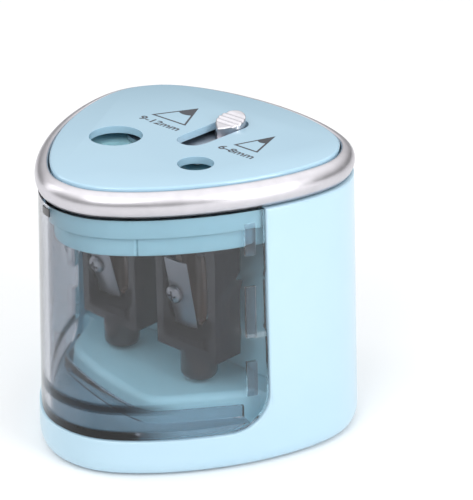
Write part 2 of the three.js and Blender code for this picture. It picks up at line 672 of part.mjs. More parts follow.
const rearWindow = { half: 6.4, front: 1.5, bottomZ: 33, topZ: 54 };
const sideWindow = { inner: 3.2, outer: 9.0, bottomZ: 33.8, topZ: 38.8 };
const buildCarrier = (hole) => {
  const { x } = hole;
  const y = cutterY;
  const past = 9; // reach of the window cuts, well clear of the block
  const flange = post(11.2, x, y, flangeZ, caseFloorZ - 0.4, 28);
  const slab = block(
    x - cageHalfWidth, x + cageHalfWidth, y - cageHalfDepth, y + cageHalfDepth, cageBottomZ, flangeZ + 0.2);
  const seat = guideWall + gap;
  const bore = turned([
    [0, cutterTipZ - 2.5], [tipRadius + seat, cutterTipZ - 2.5], ...coneProfile(hole, seat, flangeZ),
    [hole.radius + gap, flangeZ], [hole.radius + gap, 62], [0, 62]], x, y);
  const cheek = cageHalfWidth - 2.4;
  const rear = block(
    x - rearWindow.half, x + rearWindow.half, y + rearWindow.front, y + past,
    rearWindow.bottomZ, rearWindow.topZ);
  const side = block(
    x + sideWindow.inner, x + sideWindow.outer, y - past, y + past, sideWindow.bottomZ, sideWindow.topZ);
  return cut(
    union(flange, slab, turned(stubProfile(), x, y)),
    bore,
    onBlade(hole, -cheek, cheek, -3.5, 21.5, -gap, 14),
    chipWindow(hole),
    postOnBlade(hole, 1.2, -3.2, 2),
    rear,
    side);
};

const buildBlade = (hole) => cut(
  onBlade(hole, 0.3 - bladeWidth, 0.3, bladeStart, bladeEnd, 0, bladeThickness),
  onBlade(hole, -0.9, 1.2, bladeStart - 1, bladeEnd + 1, bladeThickness - 0.3, 2),
  postOnBlade(hole, 1.4, -1, 2));

const buildBladeScrew = (hole) => {
  const headN = bladeThickness + 0.15;
  const slotN = headN + 0.8;
  const arm = 1.7;
  const half = 0.35;
  const { u, l } = bladeScrew;
  return cut(
    union(postOnBlade(hole, 2.45, headN, headN + 1.5, 20), postOnBlade(hole, 0.9, -2.6, headN + 0.2, 12)),
    onBlade(hole, u - arm, u + arm, l - half, l + half, slotN, slotN + 2),
    onBlade(hole, u - half, u + half, l - arm, l + arm, slotN, slotN + 2));
};

// ---- motor, cells, switches ---------------------------------------------------------
const buildMotorCan = () => {
  const { x, y } = motorAxis;
  const can = post(motor.radius, x, y, motor.bottomZ, motor.topZ, 28)
    .intersect(block(x - motor.flat, x + motor.flat, y - 20, y + 20, 0, 90));
  return cut(union(can, post(3.0, x, y, motor.topZ - 0.5, motor.topZ + 0.8)), post(1.3, x, y, 54, 70, 14));
};

const buildMotorCap = () => {
  const { x, y } = motorAxis;
  const cap = post(motor.radius - 0.4, x, y, 27.4, motor.bottomZ - 0.2, 28)
    .intersect(block(x - motor.flat + 0.4, x + motor.flat - 0.4, y - 20, y + 20, 0, 90));
  const tabs = wireHoles.map(([tabX]) => block(tabX - 1, tabX + 1, y - 0.3, y + 0.3, 24.4, 28));
  return union(cap, ...tabs);
};

const alongY = (radius, x, z, y0, y1, sides) => {
  const geometry = new THREE.CylinderGeometry(radius, radius, y1 - y0, sides);
  geometry.translate(x, (y0 + y1) / 2, z);
  return toSolid(geometry);
};

const cellZ = cell.bottomZ + cell.radius;
const buildCell = (x, flipped) => {
  const nub = 1.2;
  const y0 = cell.frontY + (flipped ? nub : 0);
  const y1 = cell.frontY + cell.length - (flipped ? 0 : nub);
  const nubY = flipped ? [cell.frontY, y0 + 0.2] : [y1 - 0.2, y1 + nub];
  return union(alongY(cell.radius, x, cellZ, y0, y1, 20), alongY(2.6, x, cellZ, ...nubY, 14));
};

const springBackY = 34.6;
const buildSpring = (x) => {
  class Coil extends THREE.Curve {
    getPoint(t) {
      const turn = t * 3 * 2 * Math.PI;
      const radius = 4.2 - 1.8 * t;
      const y = springBackY - 0.4 - 1.2 * t;
      return new THREE.Vector3(x + radius * Math.cos(turn), y, cellZ + radius * Math.sin(turn));
    }
  }
  const wire = new THREE.Shape();
  wire.absarc(0, 0, 0.22, 0, 2 * Math.PI, false);
  return toSolid(new THREE.ExtrudeGeometry(wire, {
    steps: 30, curveSegments: 2, bevelEnabled: false, extrudePath: new Coil(),
  }));
};

const startSwitch = { bottomZ: 67.4, topZ: 70.6 };
const contactPlate = (x0, x1, y0, y1) => block(x0, x1, y0, y1, 4.4, 14.6);

const buildWire = ([x, y]) => {
  const path = new THREE.LineCurve3(new THREE.Vector3(x, y, 24.0), new THREE.Vector3(x, y, 16.9));
  const section = new THREE.Shape();
  section.absarc(0, 0, 0.7, 0, 2 * Math.PI, false);
  return toSolid(new THREE.ExtrudeGeometry(section, {
    steps: 1, curveSegments: 4, bevelEnabled: false, extrudePath: path,
  }));
};

// Switch beside a pencil tube: a block with a thin leaf that reaches into the tube's slit.
const buildStartSwitch = ([bodyX0, bodyX1], [leafX0, leafX1]) => {
  const { bottomZ, topZ } = startSwitch;
  const leafZ = (bottomZ + topZ) / 2;
  return union(
    block(bodyX0, bodyX1, cutterY - 3, cutterY + 3, bottomZ, topZ),
    block(leafX0, leafX1, cutterY - 0.7, cutterY + 0.7, leafZ - 0.25, leafZ + 0.25));
};

const buildBinSwitch = () => union(
  block(-33.4, -29.6, -1.5, 3.6, 40, 50),
  block(-32.4, -31.6, -4.4, -1.3, 42, 48));

// ---- assembly -----------------------------------------------------------------------
const assembly = new THREE.Group();
const add = (name, solid, material) => {
  const mesh = new THREE.Mesh(toGeometry(solid), material);
  mesh.name = name;
  assembly.add(mesh);
};

add('base_housing', buildHousing(), look.shell);
add('base_plate', buildBasePlate(), look.shell);
add('battery_door', buildDoor(), look.shell);
baseFeet.forEach(([x, y], i) =>
  add(`rubber_foot_${i + 1}`, post(foot.radius, x, y, 0, foot.height), look.rubber));
baseScrews.forEach(([x, y], i) => add(`base_screw_${i + 1}`, buildScrew(x, y, baseScrew), look.steel));

add('shavings_bin', buildBin(), look.smoke);
add('chamber_wall', buildPartition(), look.inner);
add('gear_case', buildCase(), look.inner);
add('upper_frame', buildFrame(), look.inner);
add('gear_cover', buildCover(), look.inner);
coverScrews.forEach(([x, y], i) => add(`cover_screw_${i + 1}`, buildScrew(x, y, coverScrew), look.steel));
add('top_panel', buildPanel(), look.panel);
add('trim_ring', buildRing(), look.satin);
add('slider_knob', buildKnob(), look.satin);
add('shutter_plate', buildShutter(), look.satin);

for (const [label, hole] of [['large', largeHole], ['small', smallHole]]) {
  add(`cutter_carrier_${label}`, buildCarrier(hole), look.carrier);
  add(`pencil_guide_${label}`, buildGuide(hole), look.cone);
  add(`cutter_blade_${label}`, buildBlade(hole), look.steel);
  add(`blade_screw_${label}`, buildBladeScrew(hole), look.steel);
  add(`ring_gear_${label}`, buildRingGear(hole), look.gear);
}

add('central_gear', buildCentralGear(), look.gear);
add('reduction_gear', buildReductionGear(), look.gear);
add('central_pin', post(pinRadius, central.x, central.y, 61.2, gearZ.middleTop + 0.3, 16), look.steel);
add('reduction_pin', post(pinRadius, reduction.x, reduction.y, 61.2, coverZ - 0.2, 16), look.steel);
const pinion = gear(teeth.motor, motorTurn, 1.2, motorAxis, gearZ.high - 0.2, gearZ.highTop + 0.2);
add('motor_pinion', pinion, look.brass);
add('motor_shaft', post(1.0, motorAxis.x, motorAxis.y, 55, gearZ.highTop + 0.5, 14), look.steel);
add('motor_can', buildMotorCan(), look.steel);
add('motor_cap', buildMotorCap(), look.dark);

const cellX = [cell.middleX - cell.pitch / 2, cell.middleX + cell.pitch / 2];
add('battery_cell_left', buildCell(cellX[0], false), look.cellSkin);
add('battery_cell_right', buildCell(cellX[1], true), look.cellSkin);
const rearPlate = (x) => contactPlate(x - 5, x + 5, springBackY, springBackY + 0.4);
add('contact_bridge', contactPlate(cellX[0] - 5, cellX[1] + 5, -19.0, -18.6), look.brass);
add('contact_rear_left', rearPlate(cellX[0]), look.brass);
add('contact_rear_right', rearPlate(cellX[1]), look.brass);
add('contact_spring', buildSpring(cellX[1]), look.steel);
add('wire_positive', buildWire(wireHoles[0]), look.red);
add('wire_negative', buildWire(wireHoles[1]), look.dark);

add('start_switch_large', buildStartSwitch([-26.5, -22.8], [-23, -20.1]), look.dark);
add('start_switch_small', buildStartSwitch([22.6, 26.3], [19.6, 22.8]), look.dark);
add('bin_switch', buildBinSwitch(), look.dark);

export default assembly;
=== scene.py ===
import json
import math
import bpy
import numpy as np
from mathutils import Matrix, Vector


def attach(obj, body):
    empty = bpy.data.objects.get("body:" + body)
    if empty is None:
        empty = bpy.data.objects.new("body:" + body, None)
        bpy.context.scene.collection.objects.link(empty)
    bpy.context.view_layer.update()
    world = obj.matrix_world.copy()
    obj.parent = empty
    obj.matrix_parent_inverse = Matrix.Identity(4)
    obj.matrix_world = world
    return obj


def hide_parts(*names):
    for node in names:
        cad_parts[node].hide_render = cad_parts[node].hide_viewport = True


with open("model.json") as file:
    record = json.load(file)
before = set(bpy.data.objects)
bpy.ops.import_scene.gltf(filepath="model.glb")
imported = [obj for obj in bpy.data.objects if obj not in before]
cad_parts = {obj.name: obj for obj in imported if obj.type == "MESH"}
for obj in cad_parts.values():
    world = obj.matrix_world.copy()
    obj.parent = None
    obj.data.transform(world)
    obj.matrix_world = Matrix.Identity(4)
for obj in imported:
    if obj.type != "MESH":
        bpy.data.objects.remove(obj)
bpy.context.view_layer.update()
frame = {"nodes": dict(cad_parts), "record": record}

mm = 0.001


# look of every plastic: colours are linear, grain and bump in millimetres
finishes = {
    "shell": dict(color=(0.44, 0.61, 0.715), shade=(0.42, 0.595, 0.705),
                  rough=0.26, grain=0.9, bump=0.010, coat=0.25),
    "inner": dict(color=(0.47, 0.80, 0.89), shade=(0.44, 0.77, 0.86),
                  rough=0.34, grain=0.8, bump=0.012, coat=0.1),
    "panel": dict(color=(0.40, 0.61, 0.75), shade=(0.385, 0.595, 0.74),
                  rough=0.09, grain=0.6, bump=0.004, coat=0.6),
    "rubber": dict(color=(0.045, 0.047, 0.05), shade=(0.03, 0.03, 0.033),
                   rough=0.85, grain=0.35, bump=0.03, coat=0.0),
    "gear": dict(color=(0.86, 0.84, 0.78), shade=(0.78, 0.75, 0.68),
                 rough=0.5, grain=0.7, bump=0.015, coat=0.0),
    "dark": dict(color=(0.018, 0.018, 0.02), shade=(0.012, 0.012, 0.014),
                 rough=0.5, grain=0.5, bump=0.02, coat=0.0),
    "red": dict(color=(0.45, 0.03, 0.02), shade=(0.35, 0.02, 0.015),
                rough=0.45, grain=0.5, bump=0.01, coat=0.0),
    "cell": dict(color=(0.10, 0.15, 0.17), shade=(0.08, 0.11, 0.13),
                 rough=0.3, grain=1.2, bump=0.005, coat=0.3),
}
darkPlastics = {
    "carrier": dict(name="smokedCarrier", color=(0.017, 0.016, 0.020), shade=(0.011, 0.010, 0.013),
                    rough=0.16, grain=0.8, bump=0.006, coat=0.4),
    "cone": dict(name="brownGuide", color=(0.16, 0.10, 0.075), shade=(0.12, 0.075, 0.055),
                 rough=0.2, grain=0.8, bump=0.006, coat=0.3),
    "ink": dict(name="printInk", color=(0.05, 0.055, 0.07), shade=(0.035, 0.04, 0.05),
                rough=0.4, grain=0.3, bump=0.003, coat=0.0),
}
metals = {
    "satin": dict(name="satinSilver", color=(0.62, 0.605, 0.64), rough=0.29,
                  stretch=(300, 300, 300), bump=0.004),
    "steel": dict(name="groundSteel", color=(0.42, 0.42, 0.44), rough=0.25,
                  stretch=(2600, 260, 260), bump=0.006),
    "brass": dict(name="brassSheet", color=(0.63, 0.43, 0.14), rough=0.3,
                  stretch=(500, 500, 500), bump=0.004),
}
# clear plastic; the edge-on colour and the band colour below are painted shade
smoke = dict(
    color=(0.66, 0.685, 0.72), rough=0.02, grain=1.5, bump=0.002, ior=1.45, lampTint=(0.9, 0.915, 0.94),
    shadeShare=0.97, edgeOnShade=(0.46, 0.46, 0.53), edgeBlend=0.35, paintedBandShade=(0.02, 0.035, 0.05))
skin = dict(cloudScale=38.0, cloudDetail=4.0, fineScale=1400.0, fineDetail=3.0, mixFrom=0.35, mixTo=0.65,
            roughDrift=0.06, coatRough=0.08, ior=1.49)
streaks = dict(detail=5.0, darkest=0.86, lightest=1.06, roughDrift=0.10)
# heights and fade along X of the two bands of painted shade on the bin's wall
paintedShadeBands = dict(lower=(9.5, 12.9, 0.5), upper=(17.4, 20.3, 0.6), fadeFrom=27, fadeTo=13)


def newTree(name):
    material = bpy.data.materials.new(name)
    material.use_nodes = True
    tree = material.node_tree
    return material, tree, tree.nodes["Principled BSDF"]


def addNode(tree, kind, inputs=None, **settings):
    node = tree.nodes.new(kind)
    for key, value in settings.items():
        setattr(node, key, value)
    for key, value in (inputs or {}).items():
        node.inputs[key].default_value = value
    return node


def newGroup(name, inputs, outputs):
    group = bpy.data.node_groups.new(name, "ShaderNodeTree")
    for sockets, way in ((inputs, "INPUT"), (outputs, "OUTPUT")):
        for socket, kind in sockets.items():
            group.interface.new_socket(name=socket, in_out=way, socket_type="NodeSocket" + kind)
    return group


surfaceOutputs = {"Color": "Color", "Roughness": "Float", "Height": "Float"}


# cloudy colour drift, patchy roughness and a fine moulded skin, from Object coordinates
def mouldedGroup():
    inputs = {"Color": "Color", "Shade": "Color", "Roughness": "Float", "Grain": "Float"}
    group = newGroup("mouldedSkin", inputs, surfaceOutputs)
    start = addNode(group, "NodeGroupInput")
    end = addNode(group, "NodeGroupOutput")
    place = addNode(group, "ShaderNodeTexCoord")
    cloud = addNode(group, "ShaderNodeTexNoise", {"Scale": skin["cloudScale"], "Detail": skin["cloudDetail"]})
    fine = addNode(group, "ShaderNodeTexNoise", {"Detail": skin["fineDetail"]})
    scale = addNode(group, "ShaderNodeMath", {0: skin["fineScale"]}, operation="DIVIDE")
    mix = addNode(group, "ShaderNodeMix", data_type="RGBA")
    spread = addNode(group, "ShaderNodeMapRange", {"From Min": skin["mixFrom"], "From Max": skin["mixTo"]})
    wobble = addNode(group, "ShaderNodeMath", {1: skin["roughDrift"]}, operation="MULTIPLY_ADD")
    link = group.links.new
    link(place.outputs["Object"], cloud.inputs["Vector"])
    link(place.outputs["Object"], fine.inputs["Vector"])
    link(start.outputs["Grain"], scale.inputs[1])
    link(scale.outputs[0], fine.inputs["Scale"])
    link(cloud.outputs["Fac"], spread.inputs["Value"])
    link(spread.outputs[0], mix.inputs["Factor"])
    link(start.outputs["Color"], mix.inputs[6])
    link(start.outputs["Shade"], mix.inputs[7])
    link(cloud.outputs["Fac"], wobble.inputs[0])
    link(start.outputs["Roughness"], wobble.inputs[2])
    link(mix.outputs[2], end.inputs["Color"])
    link(wobble.outputs[0], end.inputs["Roughness"])
    link(fine.outputs["Fac"], end.inputs["Height"])
    return group


# streaks drawn out along one axis, for ground and plated metal
def metalGroup():
    inputs = {"Color": "Color", "Roughness": "Float", "Stretch": "Vector"}
    group = newGroup("metalStreaks", inputs, surfaceOutputs)
    start = addNode(group, "NodeGroupInput")
    end = addNode(group, "NodeGroupOutput")
    place = addNode(group, "ShaderNodeTexCoord")
    stretch = addNode(group, "ShaderNodeVectorMath", operation="MULTIPLY")
    noise = addNode(group, "ShaderNodeTexNoise", {"Scale": 1.0, "Detail": streaks["detail"]})
    tone = addNode(group, "ShaderNodeMapRange", {"To Min": streaks["darkest"], "To Max": streaks["lightest"]})
    tint = addNode(group, "ShaderNodeVectorMath", operation="SCALE")
    wobble = addNode(group, "ShaderNodeMath", {1: streaks["roughDrift"]}, operation="MULTIPLY_ADD")
    link = group.links.new
    link(place.outputs["Object"], stretch.inputs[0])
    link(start.outputs["Stretch"], stretch.inputs[1])
    link(stretch.outputs[0], noise.inputs["Vector"])
    link(noise.outputs["Fac"], tone.inputs["Value"])
    link(start.outputs["Color"], tint.inputs[0])
    link(tone.outputs[0], tint.inputs["Scale"])
    link(noise.outputs["Fac"], wobble.inputs[0])
    link(start.outputs["Roughness"], wobble.inputs[2])
    link(tint.outputs[0], end.inputs["Color"])
    link(wobble.outputs[0], end.inputs["Roughness"])
    link(noise.outputs["Fac"], end.inputs["Height"])
    return group


# mask of the painted shade on the bin's wall: two bands where the real wall is thickest and looks dark edge-on,
# painted dark here; a soft pulse in height each, fading out towards +X
def paintedShadeBandGroup():
    group = newGroup("paintedShadeBandMask", {}, {"Mask": "Float"})
    end = addNode(group, "NodeGroupOutput")
    place = addNode(group, "ShaderNodeTexCoord")
    split = addNode(group, "ShaderNodeSeparateXYZ")
    group.links.new(place.outputs["Object"], split.inputs[0])

    def ramp(axis, nought, full):
        span = {"From Min": nought * mm, "From Max": full * mm}
        step = addNode(group, "ShaderNodeMapRange", span, interpolation_type="SMOOTHSTEP")
        group.links.new(split.outputs[axis], step.inputs["Value"])
        return step.outputs[0]

    def joined(operation, first, second):
        node = addNode(group, "ShaderNodeMath", operation=operation)
        group.links.new(first, node.inputs[0])
        group.links.new(second, node.inputs[1])
        return node.outputs[0]

    def pulse(low, high, soft):
        return joined("SUBTRACT", ramp("Z", low, low + soft), ramp("Z", high - soft, high))

    both = joined("ADD", pulse(*paintedShadeBands["lower"]), pulse(*paintedShadeBands["upper"]))
    fading = ramp("X", paintedShadeBands["fadeFrom"], paintedShadeBands["fadeTo"])
    group.links.new(joined("MULTIPLY", both, fading), end.inputs["Mask"])
    return group


mouldedSkin = mouldedGroup()
metalStreaks = metalGroup()
paintedShadeBandMask = paintedShadeBandGroup()


def hookUp(tree, shader, group, bumpDepth):
    bump = addNode(tree, "ShaderNodeBump", {"Strength": 1.0, "Distance": bumpDepth * mm})
    tree.links.new(group.outputs["Color"], shader.inputs["Base Color"])
    tree.links.new(group.outputs["Roughness"], shader.inputs["Roughness"])
    tree.links.new(group.outputs["Height"], bump.inputs["Height"])
    tree.links.new(bump.outputs["Normal"], shader.inputs["Normal"])


def skinNode(tree, color, shade, rough, grain):
    values = {"Color": (*color, 1), "Shade": (*shade, 1), "Roughness": rough, "Grain": grain}
    return addNode(tree, "ShaderNodeGroup", values, node_tree=mouldedSkin)


def plasticMaterial(name, color, shade, rough, grain, bump, coat):
    material, tree, shader = newTree(name)
    hookUp(tree, shader, skinNode(tree, color, shade, rough, grain), bump)
    shader.inputs["Coat Weight"].default_value = coat
    shader.inputs["Coat Roughness"].default_value = skin["coatRough"]
    shader.inputs["IOR"].default_value = skin["ior"]
    return material


def metalMaterial(name, color, rough, stretch, bump):
    material, tree, shader = newTree(name)
    values = {"Color": (*color, 1), "Roughness": rough, "Stretch": stretch}
    hookUp(tree, shader, addNode(tree, "ShaderNodeGroup", values, node_tree=metalStreaks), bump)
    shader.inputs["Metallic"].default_value = 1.0
    return material


# clear plastic that bends light, with painted shade where it is seen edge-on and in the masked bands, and lets
# lamps straight through
def clearMaterial(name, darkMask=None):
    material, tree, shader = newTree(name)
    link = tree.links.new
    shade = [channel * smoke["shadeShare"] for channel in smoke["color"]]
    group = skinNode(tree, smoke["color"], shade, smoke["rough"], smoke["grain"])
    hookUp(tree, shader, group, smoke["bump"])
    shader.inputs["Transmission Weight"].default_value = 1.0
    shader.inputs["IOR"].default_value = smoke["ior"]
    tint = group.outputs["Color"]
    # painted shade: the masked bands are darkened towards a near-black colour, standing in for the thick wall
    # that looks dark edge-on
    if darkMask:
        mask = addNode(tree, "ShaderNodeGroup", node_tree=darkMask)
        darken = addNode(tree, "ShaderNodeMix", {7: (*smoke["paintedBandShade"], 1)}, data_type="RGBA")
        link(mask.outputs["Mask"], darken.inputs["Factor"])
        link(tint, darken.inputs[6])
        tint = darken.outputs[2]
    # painted shade: the wall's colour is darkened where it is seen edge-on
    edgeOn = addNode(tree, "ShaderNodeLayerWeight", {"Blend": smoke["edgeBlend"]})
    deepen = addNode(
        tree, "ShaderNodeMix", {7: (*smoke["edgeOnShade"], 1)}, data_type="RGBA", blend_type="MULTIPLY")
    link(edgeOn.outputs["Facing"], deepen.inputs["Factor"])
    link(tint, deepen.inputs[6])
    link(deepen.outputs[2], shader.inputs["Base Color"])
    path = addNode(tree, "ShaderNodeLightPath")
    through = addNode(tree, "ShaderNodeBsdfTransparent", {"Color": (*smoke["lampTint"], 1)})
    mix = addNode(tree, "ShaderNodeMixShader")
    link(path.outputs["Is Shadow Ray"], mix.inputs[0])
    link(shader.outputs[0], mix.inputs[1])
    link(through.outputs[0], mix.inputs[2])
    link(mix.outputs[0], tree.nodes["Material Output"].inputs["Surface"])
    return material


paint = {slot: plasticMaterial(slot + "Plastic", **look) for slot, look in finishes.items()}
paint.update({slot: metalMaterial(**look) for slot, look in metals.items()})
paint["smoke"] = clearMaterial("smokyClear")
paint["smokeWall"] = clearMaterial("smokyClearWall", paintedShadeBandMask)
paint.update({slot: plasticMaterial(**look) for slot, look in darkPlastics.items()})
print("materials made:", len(paint))


def meshObject(name, points, faces, material, smoothAngle=35):
    mesh = bpy.data.meshes.new(name)
    mesh.from_pydata(np.asarray(points, float).tolist(), [], [list(map(int, f)) for f in faces])
    mesh.validate()
    mesh.polygons.foreach_set("use_smooth", np.ones(len(mesh.polygons), bool))
    mesh.set_sharp_from_angle(angle=math.radians(smoothAngle))
    mesh.update()
    obj = bpy.data.objects.new(name, mesh)
    bpy.context.scene.collection.objects.link(obj)
    if material:
        mesh.materials.append(material)
    return obj


# quads between neighbouring rows of a grid of rows x columns
def gridFaces(rows, columns, closeRows=False, closeColumns=True):
    r = np.arange(rows if closeRows else rows - 1)[:, None]
    c = np.arange(columns if closeColumns else columns - 1)[None, :]
    r2 = (r + 1) % rows
    c2 = (c + 1) % columns
    corners = [r * columns + c, r * columns + c2, r2 * columns + c2, r2 * columns + c]
    return np.stack(corners, -1).reshape(-1, 4)


# stack of rings (rows, columns, 3), lowest first, counter-clockwise from above; ends closed flat
def ringStack(name, rings, material, closed=False, smoothAngle=35):
    rows, columns = rings.shape[:2]
    faces = gridFaces(rows, columns, closeRows=closed).tolist()
    if not closed:
        faces.append(list(range(columns))[::-1])
        faces.append(list(range((rows - 1) * columns, rows * columns)))
    return meshObject(name, rings.reshape(-1, 3), faces, material, smoothAngle)


def applied(obj):
    bpy.context.view_layer.update()
    shaped = bpy.data.meshes.new_from_object(obj.evaluated_get(bpy.context.evaluated_depsgraph_get()))
    obj.modifiers.clear()
    obj.data = shaped
    return obj


def combine(obj, others, operation):
    for other in others:
        step = obj.modifiers.new(operation.lower(), "BOOLEAN")
        step.operation = operation
        step.solver = "EXACT"
        step.object = other
    applied(obj)
    for other in others:
        bpy.data.objects.remove(other)
    return obj


def softEdges(obj, width, segments=3, angle=30):
    bevel = obj.modifiers.new("softEdges", "BEVEL")
    bevel.width = width * mm
    bevel.segments = segments
    bevel.limit_method = "ANGLE"
    bevel.angle_limit = math.radians(angle)
    bevel.harden_normals = True
    bevel.use_clamp_overlap = True
    obj.data.polygons.foreach_set("use_smooth", np.ones(len(obj.data.polygons), bool))
    return obj


# turned piece: its profile of (radius, height) points swept round the upright axis through x, y
def turned(name, profile, x, y, material=None, sides=96):
    profile = np.asarray(profile, float)
    turn = np.arange(sides) / sides * 2 * np.pi
    radius, height = profile[:, 0][:, None], profile[:, 1][:, None]
    rings = np.stack([x + radius * np.cos(turn), y + radius * np.sin(turn), height + 0 * turn], -1) * mm
    return ringStack(name, rings, material)


# levels of (radius, height) that round a side's upper edge off, or both its edges
def roundedTop(radius, top, edge, steps=5):
    arc = np.linspace(0, np.pi / 2, steps)
    return [(radius - edge + edge * math.cos(a), top - edge + edge * math.sin(a)) for a in arc]


def roundedSide(radius, low, top, edge, steps=5):
    arc = np.linspace(0, np.pi / 2, steps)
    foot = [(radius - edge + edge * math.sin(a), low + edge - edge * math.cos(a)) for a in arc]
    return foot + roundedTop(radius, top, edge, steps)


def block(name, x0, x1, y0, y1, z0, z1, material=None):
    plan = ((x0, y0), (x1, y0), (x1, y1), (x0, y1))
    corners = np.array([(x, y, z) for z in (z0, z1) for x, y in plan]) * mm
    faces = [(0, 3, 2, 1), (4, 5, 6, 7), (0, 1, 5, 4), (1, 2, 6, 5), (2, 3, 7, 6), (3, 0, 4, 7)]
    return meshObject(name, corners, faces, material)


# the rounded-triangle outline of the body
outline = dict(
    bulge=3.8, corner=-0.39, base=42.2, neck=40.4, skirtZ=4.5, floorZ=0.8, topZ=70.4, footInset=1.9,
    footFlat=0.97)


# support function: radius plus a threefold and a sixfold wave; the point is reach * normal + slope * tangent
def outlineXY(radius, turn):
    reach = radius + outline["bulge"] * np.cos(3 * turn) + outline["corner"] * np.cos(6 * turn)
    slope = -3 * outline["bulge"] * np.sin(3 * turn) - 6 * outline["corner"] * np.sin(6 * turn)
    x = reach * np.sin(turn) + slope * np.cos(turn)
    y = -reach * np.cos(turn) + slope * np.sin(turn) + outline["bulge"]
    return x, y


# length of outline per radian of turn: the radius of curvature, which is the reach plus its second derivative
def outlineStretch(radius, turn):
    return radius - 8 * outline["bulge"] * np.cos(3 * turn) - 35 * outline["corner"] * np.cos(6 * turn)


# the body tapers evenly above the skirt and curls in below it
def bodyRadius(z):
    taper = (z - outline["skirtZ"]) / (outline["topZ"] - outline["skirtZ"])
    low = np.clip((outline["skirtZ"] - z) / (outline["skirtZ"] - outline["floorZ"]), 0, 1)
    curl = outline["footInset"] * (1 - np.sqrt(1 - low ** 2 * outline["footFlat"]))
    return outline["base"] - np.maximum(taper, 0) * (outline["base"] - outline["neck"]) - curl


def outlineRings(levels, segments=240):
    levels = np.asarray(levels, float)
    turn = np.arange(segments) / segments * 2 * np.pi
    x, y = outlineXY(levels[:, 0][:, None], turn[None, :])
    return np.stack([x, y, levels[:, 1][:, None] + 0 * turn], -1) * mm


# turn at which the outline of that radius passes the given y, by Newton's steps
def turnAtY(radius, y):
    turn = np.full(np.shape(y), 1.2)
    for _ in range(30):
        turn = turn - (outlineXY(radius, turn)[1] - y) / (outlineStretch(radius, turn) * np.sin(turn))
        turn = np.clip(turn, 0.15, 3.0)
    return turn


# housing: a shell wrapped round the bin's opening
housing = dict(
    wall=2.2, openingY=-4.7, openingZ=10.4, cornerRadius=10.0, edge=0.55, cuffZ=5.2, sideShare=0.35,
    cuffWall=3.6, footWall=1.75)


# one half of the opening's edge: turns and heights of its straight side, then of its rounded lower corner
def openingEdge(clearance=0.0):
    radius = housing["cornerRadius"] - clearance
    sideY = housing["openingY"] - clearance
    topZ, lowZ = outline["topZ"], housing["openingZ"] + clearance
    angle = np.linspace(0, np.pi / 2, 26)
    arcY = sideY - radius + radius * np.cos(angle)
    arcZ = lowZ + radius - radius * np.sin(angle)
    arcTurn = turnAtY(bodyRadius(arcZ), arcY)
    sideZ = np.linspace(topZ, arcZ[0], 40)[:-1]
    sideTurn = turnAtY(bodyRadius(sideZ), np.full(sideZ.shape, sideY))
    return sideTurn, sideZ, arcTurn, arcZ


# the same edge as a closed loop, with the turn of the skirt point that each of its points is skinned down to
def housingLoop():
    sideTurn, sideZ, arcTurn, arcZ = openingEdge()
    middle = arcTurn[0] + housing["sideShare"] * (np.pi - arcTurn[0])
    back = np.linspace(np.pi, sideTurn[0] + 0.02, 90)
    front = np.linspace(arcTurn[-1], 0, 50)[1:]
    turn = np.concatenate([back, sideTurn, arcTurn, front])
    z = np.concatenate([np.full(back.shape, outline["topZ"]), sideZ, arcZ, np.full(front.shape, arcZ[-1])])
    sideFoot = np.linspace(middle, arcTurn[0], len(sideZ) + 1)[1:]
    foot = np.concatenate([np.linspace(np.pi, middle, len(back)), sideFoot, arcTurn, front])

    def mirrored(half, sign):
        return np.concatenate([sign * half, half[::-1][1:-1]])

    return mirrored(turn, -1), mirrored(z, 1), mirrored(foot, -1)


def makeShell():
    turn, z, baseTurn = housingLoop()
    step = np.roll(turn, -1) - np.roll(turn, 1)
    step = (step + np.pi) % (2 * np.pi) - np.pi
    rise = np.roll(z, -1) - np.roll(z, 1)
    stretch = outlineStretch(bodyRadius(z), turn)
    along = step * stretch
    size = np.hypot(along, rise)
    outTurn, outZ = -rise / size / stretch, along / size  # unit step out of the material, in turn and height
    fillet, wall, cuffZ, floorZ = housing["edge"], housing["wall"], housing["cuffZ"], outline["floorZ"]
    rows = []

    def row(rowTurn, rowZ, inset):
        x, y = outlineXY(bodyRadius(rowZ) - inset, rowTurn)
        rows.append(np.stack([x, y, rowZ], -1))

    def skirt(share, inset):
        skirtTurn = baseTurn + (turn - outTurn * fillet - baseTurn) * share
        row(skirtTurn, cuffZ + (z - outZ * fillet - cuffZ) * share, inset)

    for k in np.linspace(0, 1, 12):  # the curl at the foot
        row(baseTurn, np.full(z.shape, floorZ + (cuffZ - floorZ) * k ** 1.5), 0.0)
    shares = np.linspace(0, 1, 30)[1:]
    for k in shares:
        skirt(k, 0.0)
    for a in np.linspace(0, np.pi / 2, 6)[1:]:
        back = fillet * (1 - math.sin(a))
        row(turn - outTurn * back, z - outZ * back, fillet * (1 - math.cos(a)))
    for a in np.linspace(0, np.pi / 2, 6):
        back = fillet * (1 - math.cos(a))
        row(turn - outTurn * back, z - outZ * back, wall - fillet + fillet * math.sin(a))
    for k in shares[::-1][1:]:
        skirt(k, wall)
    row(baseTurn, np.full(z.shape, cuffZ), housing["cuffWall"])
    row(baseTurn, np.full(z.shape, floorZ), housing["footWall"])
    return ringStack("housingShell", np.stack(rows) * mm, paint["shell"], closed=True, smoothAngle=50)


shell = makeShell()
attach(shell, "housing")
print("housing shell made")

# deck, and the battery bay's raised roof
bay = dict(
    corners=[(-33, -1), (-25, -17.2), (-4, -23.7), (15, -25.2), (27, -9.8), (33.5, -1)],
    sideY=-2.0, topZ=18.0, deckZ=10.4, footZ=9.0, skin=1.8, edge=2.0, foot=0.7, draft=0.5, roundness=16,
    wallInset=1.2, leastFacing=0.004)


